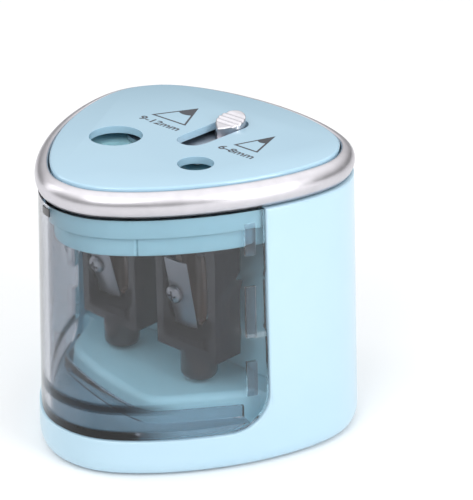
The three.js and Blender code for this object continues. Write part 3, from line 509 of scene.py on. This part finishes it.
# reach of the roof's plan from the middle of the outline: a soft minimum over the edge lines
def bayReach(angle, grow=0.0):
    corners = np.array(bay["corners"], float) - (0, outline["bulge"])
    edge = np.roll(corners, -1, 0)[:-1] - corners[:-1]
    normal = np.stack([edge[:, 1], -edge[:, 0]], -1) / np.linalg.norm(edge, axis=1)[:, None]
    distance = (normal * corners[:-1]).sum(1) + grow
    facing = normal[:, 0][:, None] * np.cos(angle) + normal[:, 1][:, None] * np.sin(angle)
    closeness = np.maximum(facing / distance[:, None], bay["leastFacing"])
    front = (closeness ** bay["roundness"]).sum(0) ** (-1 / bay["roundness"])
    side = (outline["bulge"] - bay["sideY"] + grow) / np.maximum(-np.sin(angle), bay["leastFacing"])
    return np.maximum(front, side)


# reach of an outline of that radius from its middle, by looking its points up by direction
def wallReach(angle, radius):
    turn = np.linspace(-np.pi, np.pi, 1441)
    x, y = outlineXY(radius, turn)
    y = y - outline["bulge"]
    bearing = np.unwrap(np.arctan2(y, x))
    return np.interp(np.mod(angle - bearing[0], 2 * np.pi) + bearing[0], bearing, np.hypot(x, y))


# rings at the given (reach, height) pairs round the middle of the outline
def reachRings(levels, angle):
    x, y = np.cos(angle), np.sin(angle)
    return np.stack([np.stack([r * x, outline["bulge"] + r * y, 0 * angle + h], -1) for r, h in levels]) * mm


def makeDeck():
    angle = np.arange(360) / 360 * 2 * np.pi
    wall = wallReach(angle, bodyRadius(bay["deckZ"]) - bay["wallInset"])
    roof = np.minimum(bayReach(angle), wall - 1.0)
    below = np.minimum(roof - bay["skin"], wall - 2.0)
    rings = [(below * 0.05, bay["topZ"] - bay["skin"]), (below, bay["topZ"] - bay["skin"])]
    rings += [(below, bay["footZ"]), (wall, bay["footZ"]), (wall, bay["deckZ"])]
    foot, edge = bay["foot"], bay["edge"]
    for a in np.linspace(0, np.pi / 2, 5):
        reach = np.minimum(roof + bay["draft"] + foot * (1 - math.sin(a)), wall - 0.5)
        rings.append((reach, bay["deckZ"] + foot * (1 - math.cos(a))))
    for a in np.linspace(0, np.pi / 2, 9):
        rings.append((roof - edge * (1 - math.cos(a)), bay["topZ"] - edge + edge * math.sin(a)))
    for share in (0.85, 0.6, 0.3, 0.05):
        rings.append((roof * share, bay["topZ"]))
    return ringStack("batteryBayRoof", reachRings(rings, angle), paint["inner"])


deck = makeDeck()
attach(deck, "housing")
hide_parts("base_housing")
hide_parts("base_housing")
print("deck made")

# clear bin
binPart = dict(
    inset=0.5, wall=1.8, gap=0.3, topZ=70.4, rows=70, columns=200, edge=0.45, gripZ=45.0, gripTurn=1.15,
    gripRadius=8.5, gripRim=3.0, gripDepth=0.6, floor=1.6, floorZ=11.0, floorGap=0.05, floorSweep=1.22,
    lipZ=15.5, lipGap=1.6, cornerRadius=9.7, railTurns=(1.115, 1.15), railInsets=(3.6, 2.35),
    railHeights=((58, 66.5), (35.5, 49.5), (19.5, 29)), latchTurns=(-0.40, -0.20), latchInsets=(0.45, 0.05),
    latchHeights=(67.6, 69.7))


# depth of the round finger dish on each flank: full inside its radius, easing to nothing over the rim
def gripDepth(turn, z):
    across = (np.abs(turn) - binPart["gripTurn"]) * outlineStretch(bodyRadius(z), turn)
    distance = np.hypot(across, z - binPart["gripZ"])
    ease = np.clip((binPart["gripRadius"] - distance) / binPart["gripRim"] + 0.5, 0, 1)
    return binPart["gripDepth"] * ease * ease * (3 - 2 * ease)


def makeBinWall():
    sideTurn, sideZ, arcTurn, arcZ = openingEdge(binPart["gap"])
    across = np.linspace(-1, 1, binPart["columns"])
    reach = np.sin(across * np.pi / 2)  # columns crowd towards the rounded corners
    half = sideTurn[-1]
    turn = reach * half
    lowest = np.interp(np.abs(turn), arcTurn[::-1], arcZ[::-1])
    rise = np.linspace(0, 1, binPart["rows"])[:, None]
    z = lowest + (binPart["topZ"] - lowest) * rise
    edgeTurn = np.interp(z.ravel(), sideZ[::-1], sideTurn[::-1]).reshape(z.shape)
    turnGrid = turn * np.where(z > arcZ[0], edgeTurn / half, 1.0)
    x, y = outlineXY(bodyRadius(z) - binPart["inset"] - gripDepth(turnGrid, z), turnGrid)
    points = np.stack([x, y, z], -1).reshape(-1, 3) * mm
    faces = gridFaces(binPart["rows"], binPart["columns"], closeColumns=False)
    wall = meshObject("binWall", points, faces, paint["smokeWall"])
    thick = wall.modifiers.new("thickness", "SOLIDIFY")
    thick.thickness = binPart["wall"] * mm
    thick.offset = -1
    applied(wall)
    return softEdges(wall, binPart["edge"], 3, 50)


def makeBinFloor():
    sweep = binPart["floorSweep"]
    angle = np.linspace(-np.pi / 2 - sweep, -np.pi / 2 + sweep, 140)
    inset = binPart["inset"] + binPart["wall"] + binPart["floorGap"]
    wall = wallReach(angle, bodyRadius(binPart["floorZ"]) - inset)
    lip = np.minimum(bayReach(angle, binPart["lipGap"]), wall - 3)
    low = housing["openingZ"] + binPart["gap"]
    top = low + binPart["floor"]
    radius = binPart["cornerRadius"]
    past = outline["bulge"] + wall * np.sin(angle) - (housing["openingY"] - binPart["gap"] - radius)
    under = low + radius - np.sqrt(np.maximum(radius ** 2 - np.maximum(past, 0) ** 2, 0))
    under = np.minimum(under, top - 0.1)
    peak = binPart["lipZ"]
    loop = [(lip, under), (wall, under), (wall, top), (lip + 1.4, top), (lip + 1.2, top + 0.2)]
    loop += [(lip + 1.1, peak - 0.4), (lip + 0.8, peak), (lip + 0.3, peak), (lip, peak - 0.3)]
    points = reachRings(loop, angle)
    rows, columns = points.shape[:2]
    faces = gridFaces(rows, columns, closeRows=True, closeColumns=False).tolist()
    faces.append([k * columns for k in range(rows)])
    faces.append([k * columns + columns - 1 for k in range(rows)][::-1])
    return meshObject("binFloor", points.reshape(-1, 3), faces, paint["smoke"])


# closed bar that follows the wall: the turns and heights it spans, and how far its faces stand in from the skin
def wallBar(name, turns, heights, insets, material, steps=12):
    turn = np.linspace(*turns, steps)
    (low, high), (outer, inner) = heights, insets
    corners = [(low, outer), (high, outer), (high, inner), (low, inner)]
    rows = [np.stack([*outlineXY(bodyRadius(z) - inset, turn), 0 * turn + z], -1) for z, inset in corners]
    faces = gridFaces(4, steps, closeRows=True, closeColumns=False).tolist()
    faces += [[0, steps, 2 * steps, 3 * steps], [4 * steps - 1, 3 * steps - 1, 2 * steps - 1, steps - 1]]
    bar = meshObject(name, np.stack(rows).reshape(-1, 3) * mm, faces, material)
    return softEdges(bar, 0.15, 2)


def makeBinTrim():
    latch = (binPart["latchTurns"], binPart["latchHeights"], binPart["latchInsets"])
    trim = [wallBar("binLatch", *latch, paint["carrier"])]
    for side in (-1, 1):
        turns = sorted(side * turn for turn in binPart["railTurns"])
        for heights in binPart["railHeights"]:
            trim.append(wallBar("binRail", turns, heights, binPart["railInsets"], paint["smoke"]))
    return trim


binWall = makeBinWall()
binFloor = makeBinFloor()
for piece in (binWall, binFloor, *makeBinTrim()):
    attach(piece, "bin")
    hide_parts("shavings_bin")
print("bin made")

# bands behind the bin, and the trim ring
bands = dict(
    seamTurn=43, seamHalf=0.2, lowZ=59.6, lowTop=64.5, low=36.4, lowEdge=0.5, lowWall=1.4, cutterRoom=9.3,
    highZ=64.8, highTop=70.6, high=37.9, highEdge=0.4, neck=36.5, neckTop=75.4, inner=35.2)
holes = {"large": dict(x=-13.4, radius=6.9, coneTop=57.0), "small": dict(x=15.0, radius=4.6, coneTop=54.0)}
cutterY = -7.5


def makeGearCase():
    b = bands
    outer, low, top, wall, half = b["low"], b["lowZ"], b["lowTop"], b["lowWall"], b["seamHalf"]
    levels = roundedSide(outer, low, top, b["lowEdge"])
    levels += [(outer - wall, top - 0.05), (outer - wall, low + wall)]
    case = ringStack("gearCaseTray", outlineRings(levels), paint["inner"])
    shaft = [(b["cutterRoom"], low - 9.6), (b["cutterRoom"], top + 5.5)]
    drills = [turned("drill", shaft, hole["x"], cutterY) for hole in holes.values()]
    seamX, seamY = outlineXY(outer, math.radians(b["seamTurn"]))
    drills.append(block("drill", seamX - half, seamX + half, seamY - 1, seamY + 0.5, low - 1, top + 1))
    return combine(case, drills, "DIFFERENCE")


def makeFrameBand():
    b = bands
    loop = [(b["inner"], b["highZ"])] + roundedSide(b["high"], b["highZ"], b["highTop"], b["highEdge"])
    loop += [(b["neck"], b["highTop"] + 0.05), (b["neck"], b["neckTop"]), (b["inner"], b["neckTop"])]
    return ringStack("upperFrameBand", outlineRings(loop), paint["inner"], closed=True)


ring = dict(
    inner=37.1, bottomZ=70.7, topZ=76.7, middleZ=73.6, halfWidth=3.05, halfHeight=3.45, shoulder=0.4,
    footWidth=1.9, arcFrom=-0.98, arcPastTop=0.35, innermostCosine=-0.1)


# section of the ring: a flat foot, then an ellipse's arc from just above it over the crown to the panel
def makeTrimRing():
    arc = np.linspace(ring["arcFrom"], np.pi / 2 + ring["arcPastTop"], 26)
    arc = arc[np.cos(arc) > ring["innermostCosine"]]
    across = ring["inner"] + ring["shoulder"] + ring["halfWidth"] * np.cos(arc)
    up = ring["middleZ"] + ring["halfHeight"] * np.sin(arc)
    loop = [(ring["inner"], ring["bottomZ"]), (ring["inner"] + ring["footWidth"], ring["bottomZ"])]
    loop += [*zip(across, up), (ring["inner"], ring["topZ"])]
    return ringStack("trimRing", outlineRings(loop, 300), paint["satin"], closed=True, smoothAngle=60)


gearCase = makeGearCase()
frameBand = makeFrameBand()
trimRing = makeTrimRing()
for piece, node in ((gearCase, "gear_case"), (frameBand, "upper_frame"), (trimRing, "trim_ring")):
    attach(piece, "housing")
    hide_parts(node)
print("bands and ring made")

# top panel with its holes and slot; a drill cuts from below the panel to above it
panel = dict(radius=36.7, z=75.7, topZ=77.7, edge=0.6, rim=0.8, drill=(60, 90))
slot = dict(x=3.3, width=8.5, front=-0.25, back=22.5, point=5.2)


# outline of the slot: round at the back, parabola-like point at the front
def slotLoop(inset=0.0, count=60):
    half = slot["width"] / 2 - inset
    front, back = slot["front"] + inset, slot["back"] - inset
    angle = np.linspace(0, np.pi, count)
    backX, backY = half * np.cos(angle), back - half + half * np.sin(angle)
    t = np.linspace(0, 1, count // 2)[1:]
    tipX, tipY = -half * (1 - t ** 2), front + slot["point"] * (1 - t) ** 2
    x = np.concatenate([backX, tipX, -tipX[::-1][1:]])
    y = np.concatenate([backY, tipY, tipY[::-1][1:]])
    return slot["x"] + x, y


def makePanel():
    levels = [(panel["radius"], panel["z"])] + roundedTop(panel["radius"], panel["topZ"], panel["edge"], 6)
    plate = ringStack("topPanel", outlineRings(levels, 300), paint["panel"])
    drills = []
    for hole in holes.values():
        levels = [(hole["radius"], z) for z in panel["drill"]]
        drills.append(turned("drill", levels, hole["x"], cutterY, sides=128))
    x, y = slotLoop()
    rings = np.stack([np.stack([x, y, 0 * x + z], -1) for z in panel["drill"]]) * mm
    drills.append(ringStack("drill", rings, None))
    combine(plate, drills, "DIFFERENCE")
    return softEdges(plate, panel["rim"], 5, 40)


topPanel = makePanel()
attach(topPanel, "housing")
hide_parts("top_panel")

# slider knob
knob = dict(
    back=21.5, radius=4.0, length=8.8, low=74.9, frontTop=78.1, backTop=80.6, edge=0.45, crownY=0.6,
    ridge=0.32, ridgeStart=2.2, pitch=1.3, ridges=4)


# plan like a drop, round at the back; the sloping top has grooves that follow a cosine
def makeKnob():
    radius = knob["radius"]
    middle = knob["back"] - radius
    tip = knob["back"] - knob["length"]
    angle = np.linspace(0, np.pi, 60)
    t = np.linspace(0, 1, 50)[1:]
    sideX = -radius * (1 - t ** 2.2)
    sideY = middle - (middle - tip) * t ** 1.15
    x = np.concatenate([radius * np.cos(angle), sideX, -sideX[::-1][1:-1]])
    y = np.concatenate([middle + radius * np.sin(angle), sideY, sideY[::-1][1:-1]])
    centre = np.array([0.0, middle - knob["crownY"]])
    out = np.stack([x, y], -1) - centre
    length = np.linalg.norm(out, axis=1)

    def top(py):
        slope = (knob["backTop"] - knob["frontTop"]) / knob["length"]
        height = knob["frontTop"] + (py - tip) * slope
        phase = (py - (tip + knob["ridgeStart"])) / knob["pitch"]
        inside = (phase > 0) & (phase < knob["ridges"])
        return height - np.where(inside, knob["ridge"] * (0.5 - 0.5 * np.cos(2 * np.pi * phase)) ** 0.7, 0)

    edge = knob["edge"]
    rings = [np.stack([x, y, np.full(x.shape, knob["low"]) + z], -1) for z in (0.0, 0.5)]

    def ringOnTop(share, drop):
        px, py = centre[0] + out[:, 0] * share, centre[1] + out[:, 1] * share
        rings.append(np.stack([px, py, top(py) - drop], -1))

    for a in np.linspace(0, np.pi / 2, 6):
        ringOnTop(1 - edge * (1 - math.cos(a)) / length, edge - edge * math.sin(a))
    for k in np.linspace(0.97, 0.02, 44):
        ringOnTop((1 - edge / length) * k, 0)
    points = np.stack(rings)
    points[..., 0] += slot["x"]
    return ringStack("sliderKnob", points * mm, paint["satin"], smoothAngle=60)


sliderKnob = makeKnob()
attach(sliderKnob, "slider")
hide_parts("slider_knob")
print("panel and knob made")

# cutters. Sizes along a blade are measured in its own frame: across it, up along it and out of it
cutter = dict(
    tipZ=34, tipRadius=0.8, guideWall=1.1, guideGap=0.3, halfWidth=10.3, halfDepth=4.6, bottomZ=27,
    flangeZ=57.4, flangeTop=59.2, flangeRadius=11.2, flangeEdge=0.5, stubRadius=4.8, stubZ=18.9, stubNose=2.2,
    cheek=2.4, windowHalf=6.4, windowY=(1.5, 9), windowZ=(33, 54), sideX=(3.2, 9.0), sideZ=(33.8, 38.8),
    chipWindow=(0.5, 7.6, 1, 30, -1.9, 14))
blade = dict(width=7.4, thickness=0.6, start=-1.4, end=18.4, overhang=0.3, bevelAngle=13, edgeThickness=0.12)
screw = dict(
    across=-5.15, along=8.0, shank=0.9, head=2.45, dome=0.95, rim=0.5, lift=0.15, crossLong=1.45,
    crossHalf=0.32)
softness = dict(carrier=0.4, guide=0.2, blade=0.06, screw=0.08)


# matrix from the frame of a hole's blade, which leans with the cone, to the part's
def bladeFrame(hole):
    lean = math.atan2(hole["radius"] - cutter["tipRadius"], hole["coneTop"] - cutter["tipZ"])
    across = Vector((1, 0, 0))
    along = Vector((0, -math.sin(lean), math.cos(lean)))
    out = across.cross(along)
    turn = Matrix((across, along, out)).transposed().to_4x4()
    place = Vector((hole["x"], cutterY - cutter["tipRadius"], cutter["tipZ"])) * mm
    return Matrix.Translation(place) @ turn


def onBlade(name, hole, *sizes, material=None):
    obj = block(name, *sizes, material)
    obj.data.transform(bladeFrame(hole))
    return obj


def turnedOnBlade(name, hole, profile, material=None, sides=48):
    obj = turned(name, profile, screw["across"], screw["along"], material, sides)
    obj.data.transform(bladeFrame(hole))
    return obj


def coneLevels(hole, extra, top):
    wide = hole["radius"] + extra
    return [(cutter["tipRadius"] + extra, cutter["tipZ"]), (wide, hole["coneTop"]), (wide, top)]


def chipWindow(hole):
    return onBlade("drill", hole, *cutter["chipWindow"])


def makeCarrier(label, hole):
    c = cutter
    x, y = hole["x"], cutterY
    flangeLevels = roundedSide(c["flangeRadius"], c["flangeZ"], c["flangeTop"], c["flangeEdge"])
    carrier = turned("cutterCarrier" + label, flangeLevels, x, y, paint["carrier"])
    half, deep, nose, bottom = c["halfWidth"], c["halfDepth"], c["stubNose"], c["bottomZ"]
    slab = block("slab", x - half, x + half, y - deep, y + deep, bottom, c["flangeZ"] + 0.2)
    stubLevels = [(c["stubRadius"] - nose + nose * math.sin(a), c["stubZ"] + nose - nose * math.cos(a))
                  for a in np.linspace(0.05, np.pi / 2, 8)]
    stub = turned("stub", stubLevels + [(c["stubRadius"], bottom + 0.5)], x, y)
    combine(carrier, [slab, stub], "UNION")
    gap = c["guideGap"]
    extra = c["guideWall"] + gap
    boreLevels = [(c["tipRadius"] + extra, c["tipZ"] - 2.5)] + coneLevels(hole, extra, c["flangeZ"])
    boreLevels += [(hole["radius"] + gap, c["flangeZ"] + 0.01), (hole["radius"] + gap, c["flangeTop"] + 2.8)]
    cheek, window = half - c["cheek"], c["windowHalf"]
    drills = [
        turned("drill", boreLevels, x, y),
        onBlade("drill", hole, -cheek, cheek, -3.5, 21.5, -gap, 14),
        chipWindow(hole),
        turnedOnBlade("drill", hole, [(1.2, -3.2), (1.2, 2)]),
        block("drill", x - window, x + window, *(y + reach for reach in c["windowY"]), *c["windowZ"]),
        block("drill", *(x + reach for reach in c["sideX"]), y - 9, y + 9, *c["sideZ"])]
    combine(carrier, drills, "DIFFERENCE")
    return softEdges(carrier, softness["carrier"], 3, 35)


def makeGuide(label, hole):
    top = cutter["flangeZ"] - cutter["guideGap"]
    levels = coneLevels(hole, cutter["guideWall"], top)
    guide = turned("pencilGuide" + label, levels, hole["x"], cutterY, paint["cone"])
    inside = [(cutter["tipRadius"], cutter["tipZ"] - 1)] + coneLevels(hole, 0, top + 2)
    bore = turned("drill", inside, hole["x"], cutterY)
    front = onBlade("drill", hole, -12, 12, -3, 40, -cutter["guideGap"], 14)
    combine(guide, [bore, front, chipWindow(hole)], "DIFFERENCE")
    return softEdges(guide, softness["guide"], 2, 40)


def makeBlade(label, hole):
    low, high, overhang = blade["start"], blade["end"], blade["overhang"]
    sizes = (overhang - blade["width"], overhang, low, high, 0, blade["thickness"])
    plate = onBlade("cutterBlade" + label, hole, *sizes, material=paint["steel"])
    bevelCut = block("drill", -3.0, 1.4, low - 1, high + 1, 0, 1)
    lean = Matrix.Rotation(math.radians(blade["bevelAngle"]), 4, "Y")
    bevelCut.data.transform(Matrix.Translation(Vector((overhang, 0, blade["edgeThickness"])) * mm) @ lean)
    bevelCut.data.transform(bladeFrame(hole))
    combine(plate, [bevelCut, turnedOnBlade("drill", hole, [(1.4, -1), (1.4, 2)])], "DIFFERENCE")
    return softEdges(plate, softness["blade"], 2, 15)


def makeBladeScrew(label, hole):
    low = blade["thickness"] + screw["lift"]
    head, rim = screw["head"], screw["rim"]
    arc = np.linspace(0, np.pi / 2 * 0.9, 9)
    levels = [(screw["shank"], -2.6), (screw["shank"], low - 0.02), (head, low), (head, low + rim)]
    levels += [(head * math.cos(a) ** 0.7, low + rim + 0.05 + screw["dome"] * math.sin(a)) for a in arc]
    piece = turnedOnBlade("bladeScrew" + label, hole, levels, paint["steel"], 64)
    u, v = screw["across"], screw["along"]
    slots = []
    reaches = (screw["crossLong"], screw["crossHalf"])
    for reachU, reachV in (reaches, reaches[::-1]):
        slots.append(onBlade("drill", hole, u - reachU, u + reachU, v - reachV, v + reachV, low + 0.75, 4))
    combine(piece, slots, "DIFFERENCE")
    return softEdges(piece, softness["screw"], 2, 40)


for label, hole in holes.items():
    made = {
        "cutter_carrier_": makeCarrier(label.title(), hole), "pencil_guide_": makeGuide(label.title(), hole),
        "cutter_blade_": makeBlade(label.title(), hole), "blade_screw_": makeBladeScrew(label.title(), hole)}
    for node, piece in made.items():
        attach(piece, "cutter_" + label)
        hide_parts(node + label)
print("cutters made")

# printed size marks: a pencil point in outline with its lead filled in, over its legend
marks = {
    "large": dict(x=-11.2, y=1.5, halfWidth=6.2, text="9-12mm", textWidth=14.1),
    "small": dict(x=17.5, y=0.0, halfWidth=4.1, text="6-8mm", textWidth=11.5)}
printing = dict(
    baseY=7.9, apexY=19.3, tipY=14.4, bow=0.9, line=0.55, height=0.05, leadLift=0.012, textY=3.7,
    textHeight=2.5, stroke=0.02)


def toMesh(obj, name, place):
    bpy.context.view_layer.update()
    mesh = bpy.data.meshes.new_from_object(obj.evaluated_get(bpy.context.evaluated_depsgraph_get()))
    bpy.data.objects.remove(obj)
    mesh.transform(Matrix.Translation(place))
    mesh.materials.clear()
    mesh.materials.append(paint["ink"])
    piece = bpy.data.objects.new(name, mesh)
    bpy.context.scene.collection.objects.link(piece)
    return piece


# closed thin print: a flat outline, with an optional hole, raised a little off the panel
def flatPiece(name, loops, lift=0.0):
    curve = bpy.data.curves.new(name, "CURVE")
    curve.dimensions = "2D"
    curve.fill_mode = "BOTH"
    curve.extrude = printing["height"] / 2 * mm
    for loop in loops:
        spline = curve.splines.new("POLY")
        spline.points.add(len(loop) - 1)
        points = np.c_[np.asarray(loop) * mm, np.zeros(len(loop)), np.ones(len(loop))]
        spline.points.foreach_set("co", points.ravel())
        spline.use_cyclic_u = True
    obj = bpy.data.objects.new(name, curve)
    bpy.context.scene.collection.objects.link(obj)
    return toMesh(obj, name, Vector((0, 0, (panel["topZ"] + lift) * mm)))


def makeLegend(label, mark):
    font = bpy.data.curves.new("legend" + label, "FONT")
    font.body = mark["text"]
    font.align_x = "CENTER"
    font.size = 1.0 * mm
    font.extrude = printing["height"] / 2 * mm
    font.offset = printing["stroke"] * mm
    text = bpy.data.objects.new("legend" + label, font)
    bpy.context.scene.collection.objects.link(text)
    legend = toMesh(text, "sizeLegend" + label, Vector())
    points = np.empty(len(legend.data.vertices) * 3, np.float32)
    legend.data.vertices.foreach_get("co", points)
    size = np.ptp(points.reshape(-1, 3), axis=0)
    wide, tall = mark["textWidth"] * mm / size[0], printing["textHeight"] * mm / size[1]
    legend.data.transform(Matrix.Diagonal((wide, tall, 1, 1)))
    legend.data.transform(Matrix.Translation(Vector((mark["x"], printing["textY"], panel["topZ"])) * mm))
    return legend


def makeMark(label, mark):
    m = printing
    x, half, line, base, apex = mark["x"], mark["halfWidth"], m["line"], m["baseY"], m["apexY"]
    slope = half / (apex - base)
    outer = [(x - half, base), (x + half, base), (x, apex)]
    inset = line * math.hypot(1, slope)
    corner = half - inset - slope * line
    inner = [(x - corner, base + line), (x + corner, base + line), (x, apex - inset / slope)]
    frameMark = flatPiece("sizeMark" + label, [outer, inner])
    reach = (apex - m["tipY"]) * slope
    across = np.linspace(1, -1, 12)
    lead = [(x, apex - 0.3)] + [(x - reach * b * 0.98, m["tipY"] - m["bow"] * (1 - b * b)) for b in across]
    leadMark = flatPiece("leadMark" + label, [lead], m["leadLift"])
    made = (frameMark, leadMark, makeLegend(label, mark))
    for piece in made:
        piece.data.transform(Matrix.Translation((0, mark["y"] * mm, 0)))
    return made


for label, mark in marks.items():
    for piece in makeMark(label.title(), mark):
        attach(piece, "housing")
print("size marks made")

# everything carried over from the CAD model takes the paint of its material slot
replaced = {
    "base_housing", "shavings_bin", "gear_case", "upper_frame", "trim_ring", "top_panel", "slider_knob"}
stems = ("cutter_carrier_", "pencil_guide_", "cutter_blade_", "blade_screw_")
replaced |= {stem + label for stem in stems for label in holes}
for part in frame["record"]["subparts"]:
    if part["node"] in replaced:
        continue
    node = frame["nodes"][part["node"]]
    node.data.materials.clear()
    node.data.materials.append(paint[part["material_slot"]])

# floor, light and camera
studio = dict(
    floor=(0.97, 0.975, 0.98), floorRough=0.7, floorSize=6.0, world=(1.0, 1.0, 1.0), worldStrength=0.86,
    reflectedLow=0.12, reflectedHigh=1.6, rampTop=0.9)
lamps = {
    "keyLight": dict(place=(0.25, -0.75, 0.75), width=0.5, height=0.5, power=2.6),
    "rightLight": dict(place=(0.8, 0.0, 0.35), width=0.35, height=0.7, power=3.2),
    "leftLight": dict(place=(-0.7, -0.35, 0.35), width=0.25, height=0.6, power=0.9)}
lampTarget = (0, 0, 0.04)


def makeFloor():
    size = studio["floorSize"]
    corners = [(-size, -size, 0), (size, -size, 0), (size, size, 0), (-size, size, 0)]
    material, _, shader = newTree("floorPaper")
    shader.inputs["Base Color"].default_value = (*studio["floor"], 1)
    shader.inputs["Roughness"].default_value = studio["floorRough"]
    meshObject("floor", corners, [(0, 1, 2, 3)], material)


# light falls evenly from all round, but what shines back is dim near the horizon and bright overhead
def makeWorld():
    world = bpy.data.worlds.new("studio")
    world.use_nodes = True
    sky = world.node_tree
    direction = addNode(sky, "ShaderNodeTexCoord")
    parts = addNode(sky, "ShaderNodeSeparateXYZ")
    low, high = studio["reflectedLow"], studio["reflectedHigh"]
    span = {"From Max": studio["rampTop"], "To Min": low, "To Max": high}
    ramp = addNode(sky, "ShaderNodeMapRange", span, interpolation_type="SMOOTHSTEP")
    ray = addNode(sky, "ShaderNodeLightPath")
    strength = addNode(sky, "ShaderNodeMix", {2: studio["worldStrength"]}, data_type="FLOAT")
    background = sky.nodes["Background"]
    background.inputs["Color"].default_value = (*studio["world"], 1)
    sky.links.new(direction.outputs["Generated"], parts.inputs[0])
    sky.links.new(parts.outputs["Z"], ramp.inputs["Value"])
    sky.links.new(ray.outputs["Is Glossy Ray"], strength.inputs[0])
    sky.links.new(ramp.outputs[0], strength.inputs[3])
    sky.links.new(strength.outputs[0], background.inputs["Strength"])
    bpy.context.scene.world = world


def areaLight(name, place, width, height, power):
    lamp = bpy.data.lights.new(name, "AREA")
    lamp.shape = "RECTANGLE"
    lamp.size, lamp.size_y = width, height
    lamp.energy = power
    obj = bpy.data.objects.new(name, lamp)
    obj.location = place
    obj.rotation_euler = (Vector(lampTarget) - Vector(place)).to_track_quat("-Z", "Y").to_euler()
    bpy.context.scene.collection.objects.link(obj)


makeFloor()
makeWorld()
for name, lamp in lamps.items():
    areaLight(name, **lamp)

view = dict(
    azimuth=44.6, elevation=24.98, distance=597.95, target=(0, 3.8, 36), focal=163.48, sensor=36, roll=-1.02,
    shift=(0.0996, 0.0682), nearest=0.01)


# camera at that azimuth and elevation from its target, rolled about its own axis
def makeCamera():
    azimuth, elevation, roll = (math.radians(view[key]) for key in ("azimuth", "elevation", "roll"))
    level = Vector((math.cos(azimuth), math.sin(azimuth), 0))
    flat = math.cos(elevation)
    backward = Vector((math.sin(azimuth) * flat, -math.cos(azimuth) * flat, math.sin(elevation)))
    upward = backward.cross(level)
    sideAxis = math.cos(roll) * level + math.sin(roll) * upward
    upAxis = math.cos(roll) * upward - math.sin(roll) * level
    lens = bpy.data.cameras.new("mainCamera")
    lens.lens = view["focal"]
    lens.sensor_width = view["sensor"]
    lens.shift_x, lens.shift_y = view["shift"]
    lens.clip_start = view["nearest"]
    camera = bpy.data.objects.new("mainCamera", lens)
    place = Matrix.Translation((Vector(view["target"]) + backward * view["distance"]) * mm)
    camera.matrix_world = place @ Matrix((sideAxis, upAxis, backward)).transposed().to_4x4()
    bpy.context.scene.collection.objects.link(camera)
    bpy.context.scene.camera = camera


makeCamera()
bpy.context.scene.view_settings.view_transform = "Standard"
print("stage and camera set")
